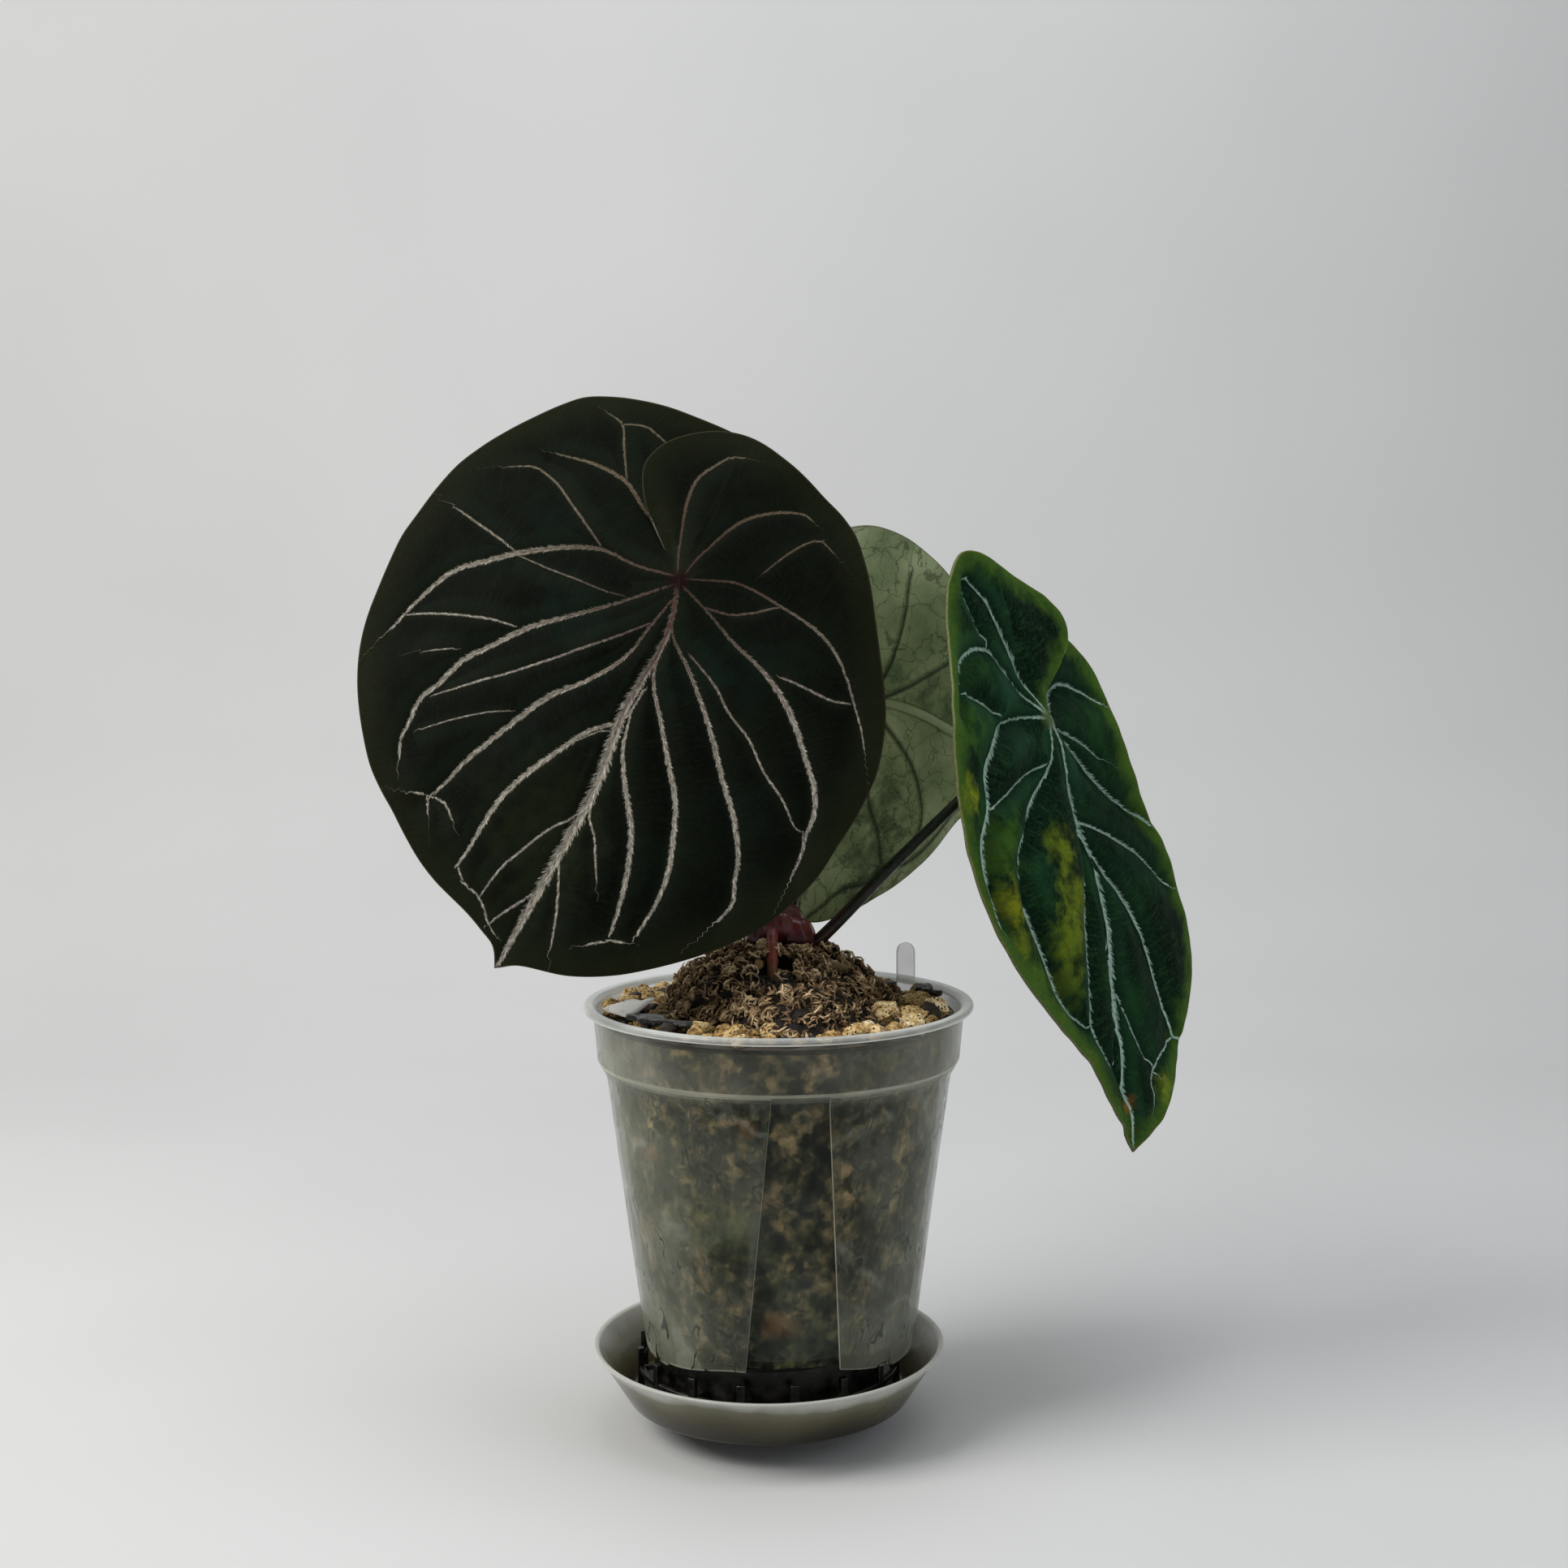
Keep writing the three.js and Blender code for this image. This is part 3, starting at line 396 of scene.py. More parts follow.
# Clear plastic gone milky: thin in the middle, denser where it is seen edge on
def clearPlastic(name, tint, low, high, roughness, smudge, haze=0.1, marked=False):
    look = Look(name)
    place = look.place()
    smear = look.noise(place, smudge, 4.0)
    cloud = look.noise(place, smudge * 0.4, 3.0)
    cover = look.between(look.facing(), 0.1, 0.95, low, high)
    cover = look.plus(cover, look.between(smear, 0.45, 0.75, 0.0, haze * 0.6))
    cover = look.plus(cover, look.between(cloud, 0.48, 0.68, 0.0, haze))
    base = look.mix(look.between(smear, 0.3, 0.75), *tint)
    if marked:
        cover, base = addMarks(look, place, cloud, cover, base)
    return look.set(
        Base_Color=base,
        Alpha=look.math("MINIMUM", cover, 1.0),
        Roughness=look.between(smear, 0.3, 0.8, roughness - 0.06, roughness + 0.12),
        Specular_IOR_Level=0.6,
        Normal=look.bump(look.noise(place, 160, 2.0), 0.12, 0.0006),
    ).material


print("stage: saucer and basket")


def saucerLook():
    look = Look("saucerPlastic")
    place = look.place()
    x, y, z = look.split(place)
    radius = look.distance(look.join(x, y), (0, 0, 0))
    blotch = look.noise(place, 40, 3.0)
    wander = look.between(blotch, 0.3, 0.7, -0.0012, 0.0012)
    outside = look.ramp(
        look.between(look.plus(z, wander), 0.0, saucerZ * 0.001),
        (0.0, "1b180d"), (0.1, "2a2716"), (0.35, "403c26"),
        (0.6, "524e38"), (0.84, "6b6954"), (1.0, "c0c2ba"),
    )
    inside = look.ramp(
        look.between(look.plus(radius, wander), 0.036, saucerR * 0.001),
        (0.0, "241f11"), (0.3, "4a4328"), (0.6, "6e6848"), (0.85, "93907a"), (1.0, "cccec7"),
    )
    depth = look.minus(radius, look.times(z, 0.62))
    outer = look.between(depth, 0.0418, 0.0427)
    cover = look.between(z, 0.003, 0.0172, 0.95, 0.8)
    cover = look.plus(cover, look.between(look.facing(), 0.3, 1.0, 0.0, 0.4))
    return look.set(
        Base_Color=look.mix(outer, inside, outside),
        Roughness=look.between(blotch, 0.3, 0.75, 0.14, 0.3),
        Alpha=look.math("MINIMUM", cover, 1.0),
        Specular_IOR_Level=0.35,
        Normal=look.bump(look.noise(place, 120, 2.0), 0.1, 0.0005),
    ).material


saucerShape = {
    "profile": [
        (0, 0), (41.8, 0), (43.8, 1.1), (48.8, 9.15), (saucerR - 1.4, saucerZ - 1.6),
        (saucerR, saucerZ - 0.9), (saucerR - 0.2, saucerZ), (saucerR - 1.7, saucerZ - 0.2),
        (47.3, 9.5), (42.9, 2.3), (41.6, 1.6), (0, 1.6),
    ],
    "rounding": 0.7,
    "steps": 200,
}
bm = bmesh.new()
turnedInto(bm, rounded(saucerShape["profile"], saucerShape["rounding"]), 0, saucerShape["steps"])
finishPiece("saucerTray", bm, [saucerLook()], ["saucer"], 50)

# Rings are (inner radius, outer radius, low, high), the last of them the deck
basketShape = {
    "rings": [(33.9, 40.8, 1.9, 3.5), (39, 40.8, 10, 11.8), (33.9, 35.6, 1.9, 21), (0, 35.6, 19.4, 21)],
    "posts": 16,
    "postAt": (40.2, 0, 9.65),
    "postSize": (1.9, 2.4, 15.5),
    "armAt": (37.2, 0, 10.9),
    "armSize": (6.6, 1.4, 1.4),
    "ribs": 3,
    "ribAt": (0, 0, 11),
    "ribSize": (69.2, 1.6, 18.2),
}


def basketLook():
    look = Look("basketPlastic")
    place = look.place()
    dust = look.noise(place, 260, 4.0)
    return look.set(
        Base_Color=look.ramp(dust, (0.35, "050505"), (0.6, "0e0d0a"), (0.8, "2a2518")),
        Roughness=look.between(dust, 0.3, 0.7, 0.22, 0.6),
        Normal=look.bump(look.noise(place, 900, 3.0), 0.2, 0.0004),
    ).material


bm = bmesh.new()
for inner, outer, low, high in basketShape["rings"]:
    turnedInto(bm, rounded([(inner, low), (outer, low), (outer, high), (inner, high)], 0.3, 2), 0, 120)
for i in range(basketShape["posts"]):
    turn = (i + 0.5) * 2 * math.pi / basketShape["posts"]
    boxInto(bm, basketShape["postAt"], basketShape["postSize"], turn)
    if i % 2 == 0:
        boxInto(bm, basketShape["armAt"], basketShape["armSize"], turn)
for i in range(basketShape["ribs"]):
    boxInto(bm, basketShape["ribAt"], basketShape["ribSize"], i * math.pi / basketShape["ribs"])
piece = finishPiece("basketFrame", bm, [basketLook()], ["drainage_basket"], 50, merge=0)
addBevel(piece, 0.25)

print("stage: clear pot")
potShape = {
    "slitsHigh": (-1.9, 14.6),
    "slitsLow": (-11.2, 18.4),
    "windowTop": 106.3,
    "windowLow": 10.0,
    "bodyTopZ": 103,
    "bodyTopR": 53.1,
    "taper": 0.13466,
    "flare": 0.58,
    "wall": 1.0,
    "footR": 41.8,
    "flapFoot": 18.6,
    "flapRise": (3.0, 3.3),
    "outerFoot": 17.6,
    "flapEnd": 34,
    "columns": 150,
    "rows": 60,
}
panelShape = {"thick": 0.8, "low": 25.1, "top": 105.7, "lap": 2.2, "inset": 1.3, "columns": 40, "rows": 50}


def wallRadius(z):
    return potShape["bodyTopR"] + (z - potShape["bodyTopZ"]) * potShape["taper"]


# Distance of a slit from the middle at a height, on its left or right side
def slitX(side, z):
    low, high = potShape["slitsLow"][side], potShape["slitsHigh"][side]
    return low + (high - low) * (z - potShape["windowLow"]) / (potShape["windowTop"] - potShape["windowLow"])


# Height of the wall's foot: the flaps in front and behind end in a slant
def footOf(azimuth):
    across = potShape["footR"] * np.sin(azimuth) * np.where(np.cos(azimuth) < 0, -1, 1)
    left = potShape["flapFoot"] + potShape["flapRise"][0] * smooth(-potShape["flapEnd"], -12, across)
    right = potShape["flapFoot"] + potShape["flapRise"][1] * smooth(potShape["flapEnd"], 12, across)
    inside = np.where(across < 0, left, right)
    return np.where(np.abs(across) < potShape["flapEnd"], inside, potShape["outerFoot"])


wallLook = clearPlastic("potWallPlastic", ("6f7364", "979b88"), 0.035, 0.5, 0.22, 60, 0.08, True)
rimLook = clearPlastic("potRimPlastic", ("c2c6c1", "dbdeda"), 0.4, 0.85, 0.2, 40)
bandLook = clearPlastic("potBandPlastic", ("8b8c7e", "adaea1"), 0.08, 0.6, 0.24, 50)
# Lighter plastic for the step and the wall's cut edges: a painted highlight along them
edgeHighlightLook = clearPlastic("potEdgePaintedHighlight", ("a3a48f", "babba8"), 0.5, 0.85, 0.3, 60)
# Bright, dense plastic for the lip's lower edge: a painted highlight along it
lipHighlightLook = clearPlastic("potLipPaintedHighlight", ("dcddd5", "eceee6"), 0.8, 1.0, 0.2, 60)


# One half of the wall, from the slit in front round to the slit behind: the right half for turn 0
def wallPlace(turn, column, row):
    share = row / potShape["rows"]
    azimuth = column / potShape["columns"] * math.pi + turn
    for _ in range(2):
        foot = footOf(azimuth)
        z = foot + (potShape["windowTop"] - foot) * share
        radius = wallRadius(z)
        start = np.arcsin(slitX(1, z) / radius) + turn
        end = np.arcsin(slitX(0, z) / radius) + math.pi + turn
        azimuth = start + (end - start) * column / potShape["columns"]
    top = potShape["bodyTopZ"]
    flared = potShape["bodyTopR"] + (z - top) * potShape["flare"]
    dent = 0.12 * np.sin(azimuth * 5 + z * 0.05) * smooth(106, 90, z) * smooth(17, 30, z)
    radius = np.where(z > top, flared, radius) - potShape["wall"] / 2 + dent
    return aroundPot(radius, azimuth, z)


def panelPlace(turn, column, row):
    z = panelShape["low"] + (panelShape["top"] - panelShape["low"]) * row / panelShape["rows"]
    radius = wallRadius(z) - panelShape["inset"] - panelShape["thick"] / 2
    start = np.arcsin((slitX(0, z) - panelShape["lap"]) / radius)
    end = np.arcsin((slitX(1, z) + panelShape["lap"]) / radius)
    azimuth = start + (end - start) * column / panelShape["columns"] + turn
    return aroundPot(radius + 2.2 * smooth(101.5, 107, z), azimuth, z)


# An open wall in two parts, the second one half a turn further round
def openWall(name, shape, place, materials, nodes):
    bm = bmesh.new()
    for turn in (0, math.pi):
        gridInto(bm, shape["columns"], shape["rows"], lambda column, row: place(turn, column, row))
    faceOut(bm, potX)
    return finishPiece(name, bm, materials, nodes, 60, outward=False)


# The wall's cut edges take the lighter plastic, as a painted highlight
piece = openWall("clearPotWall", potShape, wallPlace, [wallLook, edgeHighlightLook], ["pot"])
addShell(piece, potShape["wall"], edge=1)
addBevel(piece, 0.22, 2, 60)

rimShape = {
    "profile": [
        (53.1, 104.4), (54.2, 106.1), (55, 106.3), (55.7, 107.5), (57, 122.1), (rimR - 0.3, 122.4),
        (rimR, 123.5), (rimR - 0.5, rimZ), (57.1, rimZ), (55.9, 123), (54.6, 107.8), (53.0, 105.2),
    ],
    "rounding": 0.45,
    "steps": 240,
}
# Material, lowest and highest middle of its faces and their least radius; a later one wins. Material 2 is a
# painted highlight along the lip's lower edge, material 3 a painted highlight along the step
rimZones = [(1, 0, 121.9, 0), (2, 121.9, 122.75, 57.2), (3, 106.8, 107.6, 55)]
bm = bmesh.new()
turnedInto(bm, rounded(rimShape["profile"], rimShape["rounding"]), potX, rimShape["steps"])
for face in bm.faces:
    middle = face.calc_center_median()
    outer = math.hypot(middle.x - potX, middle.y)
    for material, low, high, radius in rimZones:
        if low < middle.z < high and outer > radius:
            face.material_index = material
finishPiece("clearPotRim", bm, [rimLook, bandLook, lipHighlightLook, edgeHighlightLook], [], 45)

panelLook = clearPlastic("potPanelPlastic", ("4a524e", "69716b"), 0.05, 0.3, 0.24, 70, 0.06)
piece = openWall("slitPanels", panelShape, panelPlace, [panelLook], [])
addShell(piece, panelShape["thick"])

print("stage: potting mix")


def mixLook():
    look = Look("mixMottles")
    place = look.place()
    warp = look.noise(place, 45, 3.0)
    patches = look.noise(place, 110, 5.0, 0.65)
    specks = look.noise(look.stretch(place, (1, 1, 0.7)), 260, 4.0)
    shift = look.join(look.times(warp, 0.008), 0.0, look.times(patches, 0.006))
    bent = look.add("ShaderNodeVectorMath", {0: place, 1: shift}, 0, operation="ADD")
    pebble = look.split(look.cells(bent, 200, feature="SMOOTH_F1", output="Color", Smoothness=0.35))[0]
    crumb = look.split(look.cells(bent, 420, feature="SMOOTH_F1", output="Color", Smoothness=0.3))[1]
    tone = look.plus(look.times(pebble, 0.22), look.times(patches, 0.5))
    tone = look.plus(tone, look.times(crumb, 0.16))
    tone = look.plus(tone, look.between(specks, 0.3, 0.7, -0.04, 0.12))
    ground = look.ramp(
        tone,
        (0.3, "0f110a"), (0.4, "26281a"), (0.48, "42402c"),
        (0.56, "645a3f"), (0.66, "8c7a56"), (0.8, "b79f72"),
    )
    warm = look.tint(ground, "8a6037", warp, 0.58, 0.7, 0.5)
    mossy = look.between(look.noise(place, 30, 3.0), 0.54, 0.68, 0.0, 0.6)
    green = look.mix(mossy, warm, look.ramp(specks, (0.3, "1c2412"), (0.5, "3a4422"), (0.7, "5d6634")))
    green = look.tint(green, "12150c", specks, 0.4, 0.32, 0.7)
    z = look.split(place)[2]
    low = look.between(look.plus(z, look.times(warp, 0.03)), 0.02, 0.075)
    cool = look.ramp(tone, (0.3, "0c1110"), (0.5, "26302d"), (0.65, "465148"), (0.8, "76795f"))
    return look.set(
        Base_Color=look.mix(look.times(look.minus(1.0, low), 0.5), green, cool),
        Roughness=0.7,
        Specular_IOR_Level=0.1,
        Normal=look.bump(specks, 0.6, 0.002),
    ).material


mixShape = {"columns": 200, "rows": 90, "low": 21.5, "top": 118.6, "gap": 2.35, "bump": 0.018}


def mixPlace(column, row):
    azimuth = turnOf(column, mixShape["columns"])
    share = row / mixShape["rows"]
    top, shoulder = mixShape["top"], potShape["bodyTopZ"]
    z = np.interp(share, [0, 0.06, 0.9, 1], [mixShape["low"], mixShape["low"], top, top])
    inside = wallRadius(np.minimum(z, shoulder)) - mixShape["gap"]
    wide = np.where(z > shoulder, np.interp(z, [shoulder, 108.5, top], [50.8, 53.6, 54.3]), inside)
    radius = np.interp(share, [0, 0.06, 0.9, 1], [0, 1, 1, 0]) * wide
    lumps = lumpsAt(aroundPot(radius, azimuth, z), (0.16, 1), (0.4, 0.5))
    scale = 1 + (lumps - 0.6) * mixShape["bump"] * (radius > 1)
    return aroundPot(radius * np.minimum(scale, 1), azimuth, z)


bm = bmesh.new()
gridInto(bm, mixShape["columns"], mixShape["rows"], mixPlace)
finishPiece("pottingFill", bm, [mixLook()], ["potting_mix"], 60)

print("stage: root mound")
hollow = {"at": np.array((3, -20.5, 138.2)), "size": np.array((7.5, 7.5, 5.0))}
moundShape = {
    "foot": 38, "bulge": 0.3, "bulgeAt": 0.16, "height": 24.2, "low": 119.3, "round": 0.62,
    "columns": 140, "rows": 70, "clumps": 230, "tries": 9000, "strands": 27, "seed": 11,
    "spacing": (3.4, 5.2),
}


# A place on the mound: share 0 is its top and 1 its foot
def moundPoint(share, azimuth):
    bulge = np.exp(-(((azimuth - moundShape["bulgeAt"]) / 0.5) ** 2))
    foot = moundShape["foot"] * (1 + moundShape["bulge"] * bulge) + 0.9 * np.sin(5 * azimuth)
    height = moundShape["height"] * np.cos(np.minimum(share, 1) * np.pi / 2) ** moundShape["round"]
    height = height + 0.7 * np.sin(7 * azimuth + 9 * share) * smooth(0, 0.4, share)
    return aroundPot(foot * share, azimuth, moundShape["low"] + height)


# Under 1 inside the hollow in front of the crown
def inHollow(points):
    return (((points - hollow["at"]) / hollow["size"]) ** 2).sum(-1)


# Fibre colour from one ramp. Each strand reads its tone: random, and painted light and shade by how far out
# it reaches; the core takes the dark end of the ramp, for dark fibre and for painted shade deep among the
# strands
def fibreLook(name, strand):
    look = Look(name)
    place = look.place()
    fine = look.noise(place, 1500, 3.0)
    if strand:
        tone = look.attribute("tone", "Fac")
        tone = look.plus(tone, look.between(fine, 0.3, 0.7, -0.12, 0.12))
    else:
        tone = look.between(look.noise(place, 300, 4.0), 0.3, 0.9, 0.0, 0.35)
    shade = look.ramp(
        tone,
        (0.0, "080503"), (0.2, "1d140c"), (0.4, "46351f"), (0.6, "7a6142"), (0.8, "a88d68"), (1.0, "d6c09a"),
    )
    return look.set(
        Base_Color=shade,
        Roughness=0.75,
        Specular_IOR_Level=0.3,
        Normal=look.bump(fine, 0.5, 0.0006),
    ).material


def corePlace(column, row):
    azimuth = turnOf(column, moundShape["columns"]) - math.pi
    share = row / moundShape["rows"]
    points = moundPoint(share * 0.985, azimuth)
    lumps = lumpsAt(points, (0.22, 1), (0.55, 0.6))
    grit = lumpsAt(points, (1.7, 1))
    outward = unit(points - np.array((potX, 0, 122)))
    points = points + outward * (lumps * 1.6 + grit * 0.7 - 1.6)[:, None] * smooth(0, 0.15, share)[:, None]
    depth = np.clip(1 - inHollow(points), 0, 1) ** 0.5
    points = points + np.array((0, 7.0, -2.5)) * depth[:, None]
    points[:, 2] = np.maximum(points[:, 2], moundShape["low"] + 0.1)
    return points


bm = bmesh.new()
gridInto(bm, moundShape["columns"], moundShape["rows"], corePlace)
bmesh.ops.holes_fill(bm, edges=[edge for edge in bm.edges if edge.is_boundary], sides=0)
finishPiece("moundCore", bm, [fibreLook("moundDark", False)], ["root_mound"], 80)

pick = np.random.default_rng(moundShape["seed"])
centres = []
for _ in range(moundShape["tries"]):
    azimuth = pick.uniform(-math.pi, math.pi)
    share = math.sqrt(pick.uniform(0.0, 0.98))
    spot = moundPoint(np.array(share), np.array(azimuth))
    if inHollow(spot) < 0.9:
        continue
    spacing = moundShape["spacing"][0 if spot[1] < 2 else 1]
    if all(np.linalg.norm(spot - other) > spacing for other in centres):
        centres.append(spot)
    if len(centres) >= moundShape["clumps"]:
        break


# One curled strand on a ball round base
def strandRoute(base, ball, outward, grain):
    direction = unit(pick.normal(size=3) + outward * 0.8)
    sideways = unit(np.cross(direction, grain + 0.55 * pick.normal(size=3)))
    curl = pick.uniform(0.4, 1.6) * pick.choice([-1, 1])
    length = pick.uniform(2.4, 6.2)
    reach = ball * pick.uniform(0.8, 1.1)
    turnAxis = np.cross(direction, sideways)
    points = []
    for step in np.linspace(0, 1, 5):
        angle = step * length / reach
        swing = sideways * math.cos(curl * step) + turnAxis * math.sin(curl * step)
        around = direction * math.cos(angle) + swing * math.sin(angle)
        points.append(base + around * reach * (1 + 0.14 * math.sin(step * 5 + curl * 3)))
    return np.array(points)


routes = []
strandToneAndShade = []
widths = []
for centre in centres:
    outward = unit(centre - np.array((potX, 0, 118)))
    ball = pick.uniform(2.0, 4.0)
    push = 3.2 * noise.noise(Vector(centre) * 0.15) + pick.uniform(-0.6, 0.4)
    base = centre - outward * (ball * 0.75 - push)
    # Clumps that stand out are lighter and sunk ones darker, as painted light and shade, on top of a random
    # tone
    clumpToneAndShade = pick.uniform(-0.17, 0.15) + push * 0.1
    grain = unit(np.cross(outward, pick.normal(size=3)))
    for _ in range(moundShape["strands"]):
        points = strandRoute(base, ball, outward, grain)
        if inHollow(points).min() < 0.8:
            continue
        points[:, 2] = np.maximum(points[:, 2], 120.2)
        routes.append(points)
        # A strand is lighter where it reaches out of its clump and darker inside it: painted light and shade
        facing = (points - base) @ outward / ball
        strandToneAndShade.append(np.clip(0.26 + 0.5 * facing + clumpToneAndShade + pick.uniform(-0.2, 0.24), 0, 1))
        widths.append(pick.uniform(0.26, 0.5) * np.array((0.5, 0.9, 1, 0.85, 0.35)))
bm = bmesh.new()
toneLayer = bm.verts.layers.float.new("tone")
made, strand, row = tubesInto(bm, routes, widths, 3)
padded = np.pad(np.array(strandToneAndShade), ((0, 0), (1, 1)), mode="edge")
for vert, tone in zip(made, padded[strand, row]):
    vert[toneLayer] = tone
finishPiece("rootStrands", bm, [fibreLook("strandFibre", True)], [], 80, merge=0.0002)

print("stage: top dressing")


def pumiceLook():
    look = Look("pumiceStone")
    place = look.place()
    tone = look.attribute("tone", "Fac")
    grain = look.noise(place, 420, 5.0, 0.65)
    pores = look.cells(place, 900)
    stain = look.noise(place, 160, 3.0)
    patch = look.times(look.minus(grain, 0.5), 1.5)
    body = look.ramp(
        look.plus(look.plus(look.times(tone, 0.6), 0.22), patch),
        (0.0, "2f2412"), (0.25, "735a34"), (0.5, "ae8d55"), (0.72, "d2b885"), (0.95, "f4e8c8"),
    )
    worn = look.tint(body, "7a6a38", stain, 0.55, 0.75)
    # Pores are coloured dark brown: painted shade in the pits
    pitted = look.mix(look.between(pores, 0.1, 0.4), "4a3719", worn)
    height = look.plus(look.between(pores, 0.0, 0.4), grain)
    return look.set(
        Base_Color=pitted,
        Roughness=0.85,
        Specular_IOR_Level=0.2,
        Normal=look.bump(height, 1.0, 0.001),
    ).material


def darkLook(name, low, high, roughness, scale):
    look = Look(name)
    place = look.place()
    layers = look.noise(look.stretch(place, (1, 1, 3)), scale, 5.0, 0.6)
    return look.set(
        Base_Color=look.ramp(layers, (0.3, low), (0.7, high)),
        Roughness=look.between(layers, 0.35, 0.75, roughness, roughness + 0.35),
        Normal=look.bump(layers, 0.7, 0.001),
    ).material


dressing = {
    "seed": 5, "count": 240, "tries": 9000, "inner": 37.5, "outer": 52.2, "wall": 54.9,
    "flats": 11, "pits": 0.15, "dark": 0.24, "kept": [(-41.2, -15.5, 8), (44.6, 31, 5)],
}
bedShape = {"columns": 160, "rows": 12, "z": 120.2, "radii": [35, 45, 54.3]}
# The stones that can be told apart in front, as x, y, z, size and tone
stones = [
    (-19.5, -38.5, 123.0, 3.9, 0.75), (-8.0, -43.0, 122.6, 3.6, 0.6), (2.2, -42.5, 123.0, 4.0, 0.8),
    (1.2, -47.6, 121.8, 2.3, 0.55), (12.5, -46.5, 121.8, 2.4, 0.2), (7.2, -45.8, 122.4, 3.0, 0.6),
    (8.8, -49.5, 121.6, 2.0, 0.4), (26.0, -43.5, 123.0, 3.6, 0.7), (32.0, -42.5, 122.8, 3.6, 0.75),
    (35.5, -25.0, 125.0, 4.6, 0.7), (42.5, -23.5, 124.0, 4.2, 0.6), (48.0, -17.5, 123.8, 4.0, 0.15),
    (51.5, -13.0, 123.8, 4.3, 0.8), (43.0, -32.5, 123.0, 4.0, 0.9), (-42.5, -10.5, 124.0, 3.8, 0.8),
    (-30.0, -33.0, 122.2, 3.0, 0.3), (19.0, -46.0, 122.0, 2.8, 0.4), (38.0, -36.8, 122.4, 3.0, 0.45),
    (-14.0, -44.0, 121.8, 2.6, 0.35), (46.5, -2.5, 124.2, 4.2, 0.55),
]
placed = len(stones)
pick = random.Random(dressing["seed"])
tries = 0
while len(stones) < dressing["count"] and tries < dressing["tries"]:
    tries += 1
    azimuth = pick.uniform(-math.pi, math.pi)
    distance = pick.uniform(dressing["inner"], dressing["outer"])
    size = pick.uniform(1.2, 3.3)
    x, y = potX + distance * math.sin(azimuth), -distance * math.cos(azimuth)
    if distance + size > dressing["wall"]:
        continue
    if any(math.hypot(x - keptX, y - keptY) < reach for keptX, keptY, reach in dressing["kept"]):
        continue
    if all(math.hypot(x - s[0], y - s[1]) > (size + s[3]) * 0.62 for s in stones):
        stones.append((x, y, 121.0 + size * 0.45, size, pick.uniform(0.0, 0.85)))
bm = bmesh.new()
toneLayer = bm.verts.layers.float.new("tone")
for i, (x, y, z, size, tone) in enumerate(stones):
    detail = 4 if i < placed else 3 if y < 10 else 2
    shape = (size, size * pick.uniform(0.72, 0.92), size * pick.uniform(0.6, 0.78))
    for vert in stoneInto(bm, (x, y, z), shape, i + 3, detail, dressing["flats"], dressing["pits"]):
        vert[toneLayer] = tone
for face in bm.faces:
    face.material_index = 1 if face.verts[0][toneLayer] < dressing["dark"] else 0


def bedPlace(column, row):
    azimuth = turnOf(column, bedShape["columns"])
    radius = np.interp(row / bedShape["rows"], [0, 0.5, 1], bedShape["radii"])
    z = bedShape["z"] + 0.5 * np.sin(azimuth * 23 + row) * (row < bedShape["rows"])
    return aroundPot(radius, azimuth, z)


made = gridInto(bm, bedShape["columns"], bedShape["rows"], bedPlace)[0]
for face in {face for vert in made for face in vert.link_faces}:
    face.material_index = 1
crumbs = darkLook("crumbs", "0a0806", "3b2d1c", 0.45, 500)
finishPiece("pumiceTop", bm, [pumiceLook(), crumbs], ["top_dressing"], 35)

wetBark = darkLook("wetBark", "040303", "1d150d", 0.12, 260)
# Plates as x, y, width, depth, turn and tilt
flakes = {
    "Left": [
        (-33.5, -31.5, 12.5, 6.4, -0.8, 0.12), (-25, -36.5, 11.5, 5.6, -0.5, -0.1),
        (-38.5, -25, 9, 5.4, -1, -0.14),
    ],
    "Right": [(49.5, 16.5, 7.4, 5.4, -0.9, 0.2), (51.8, 12, 7, 5, -0.6, -0.16)],
}
for side, plates in flakes.items():
    bm = bmesh.new()
    for i, (x, y, wide, deep, turn, tilt) in enumerate(plates):
        shape = Matrix.Translation((x, y, 124.6 - 0.35 * i))
        shape = shape @ Matrix.Rotation(turn, 4, "Z") @ Matrix.Rotation(tilt, 4, "X")
        for vert in ballInto(bm, 4):
            spot = vert.co.copy()
            ragged = 1 + 0.16 * noise.noise(Vector((spot.x * 2, spot.y * 2, i * 5)))
            thick = 0.85 * math.copysign(min(abs(spot.z) * 2.2, 1), spot.z)
            ridge = 0.25 * noise.noise(Vector((spot.x * 2, spot.y * 7, i * 3)))
            vert.co = shape @ Vector((spot.x * wide / 2 * ragged, spot.y * deep / 2 * ragged, thick + ridge))
    finishPiece("bark" + side, bm, [wetBark], ["bark_flakes_" + side.lower()], 35)

print("stage: fleece packet, label")


def fleeceLook():
    look = Look("soiledFleece")
    place = look.place()
    weave = look.noise(place, 1300, 3.0)
    soil = look.noise(place, 230, 4.0, 0.65)
    low = look.between(look.split(place)[2], 0.1235, 0.1262)
    dirt = look.minus(look.between(soil, 0.46, 0.72), look.times(low, 0.4))
    return look.set(
        Base_Color=look.mix(look.math("MAXIMUM", dirt, 0.0), "f6f4ee", "75664c"),
        Roughness=0.95,
        Sheen_Weight=0.3,
        Normal=look.bump(weave, 0.5, 0.0005),
    ).material


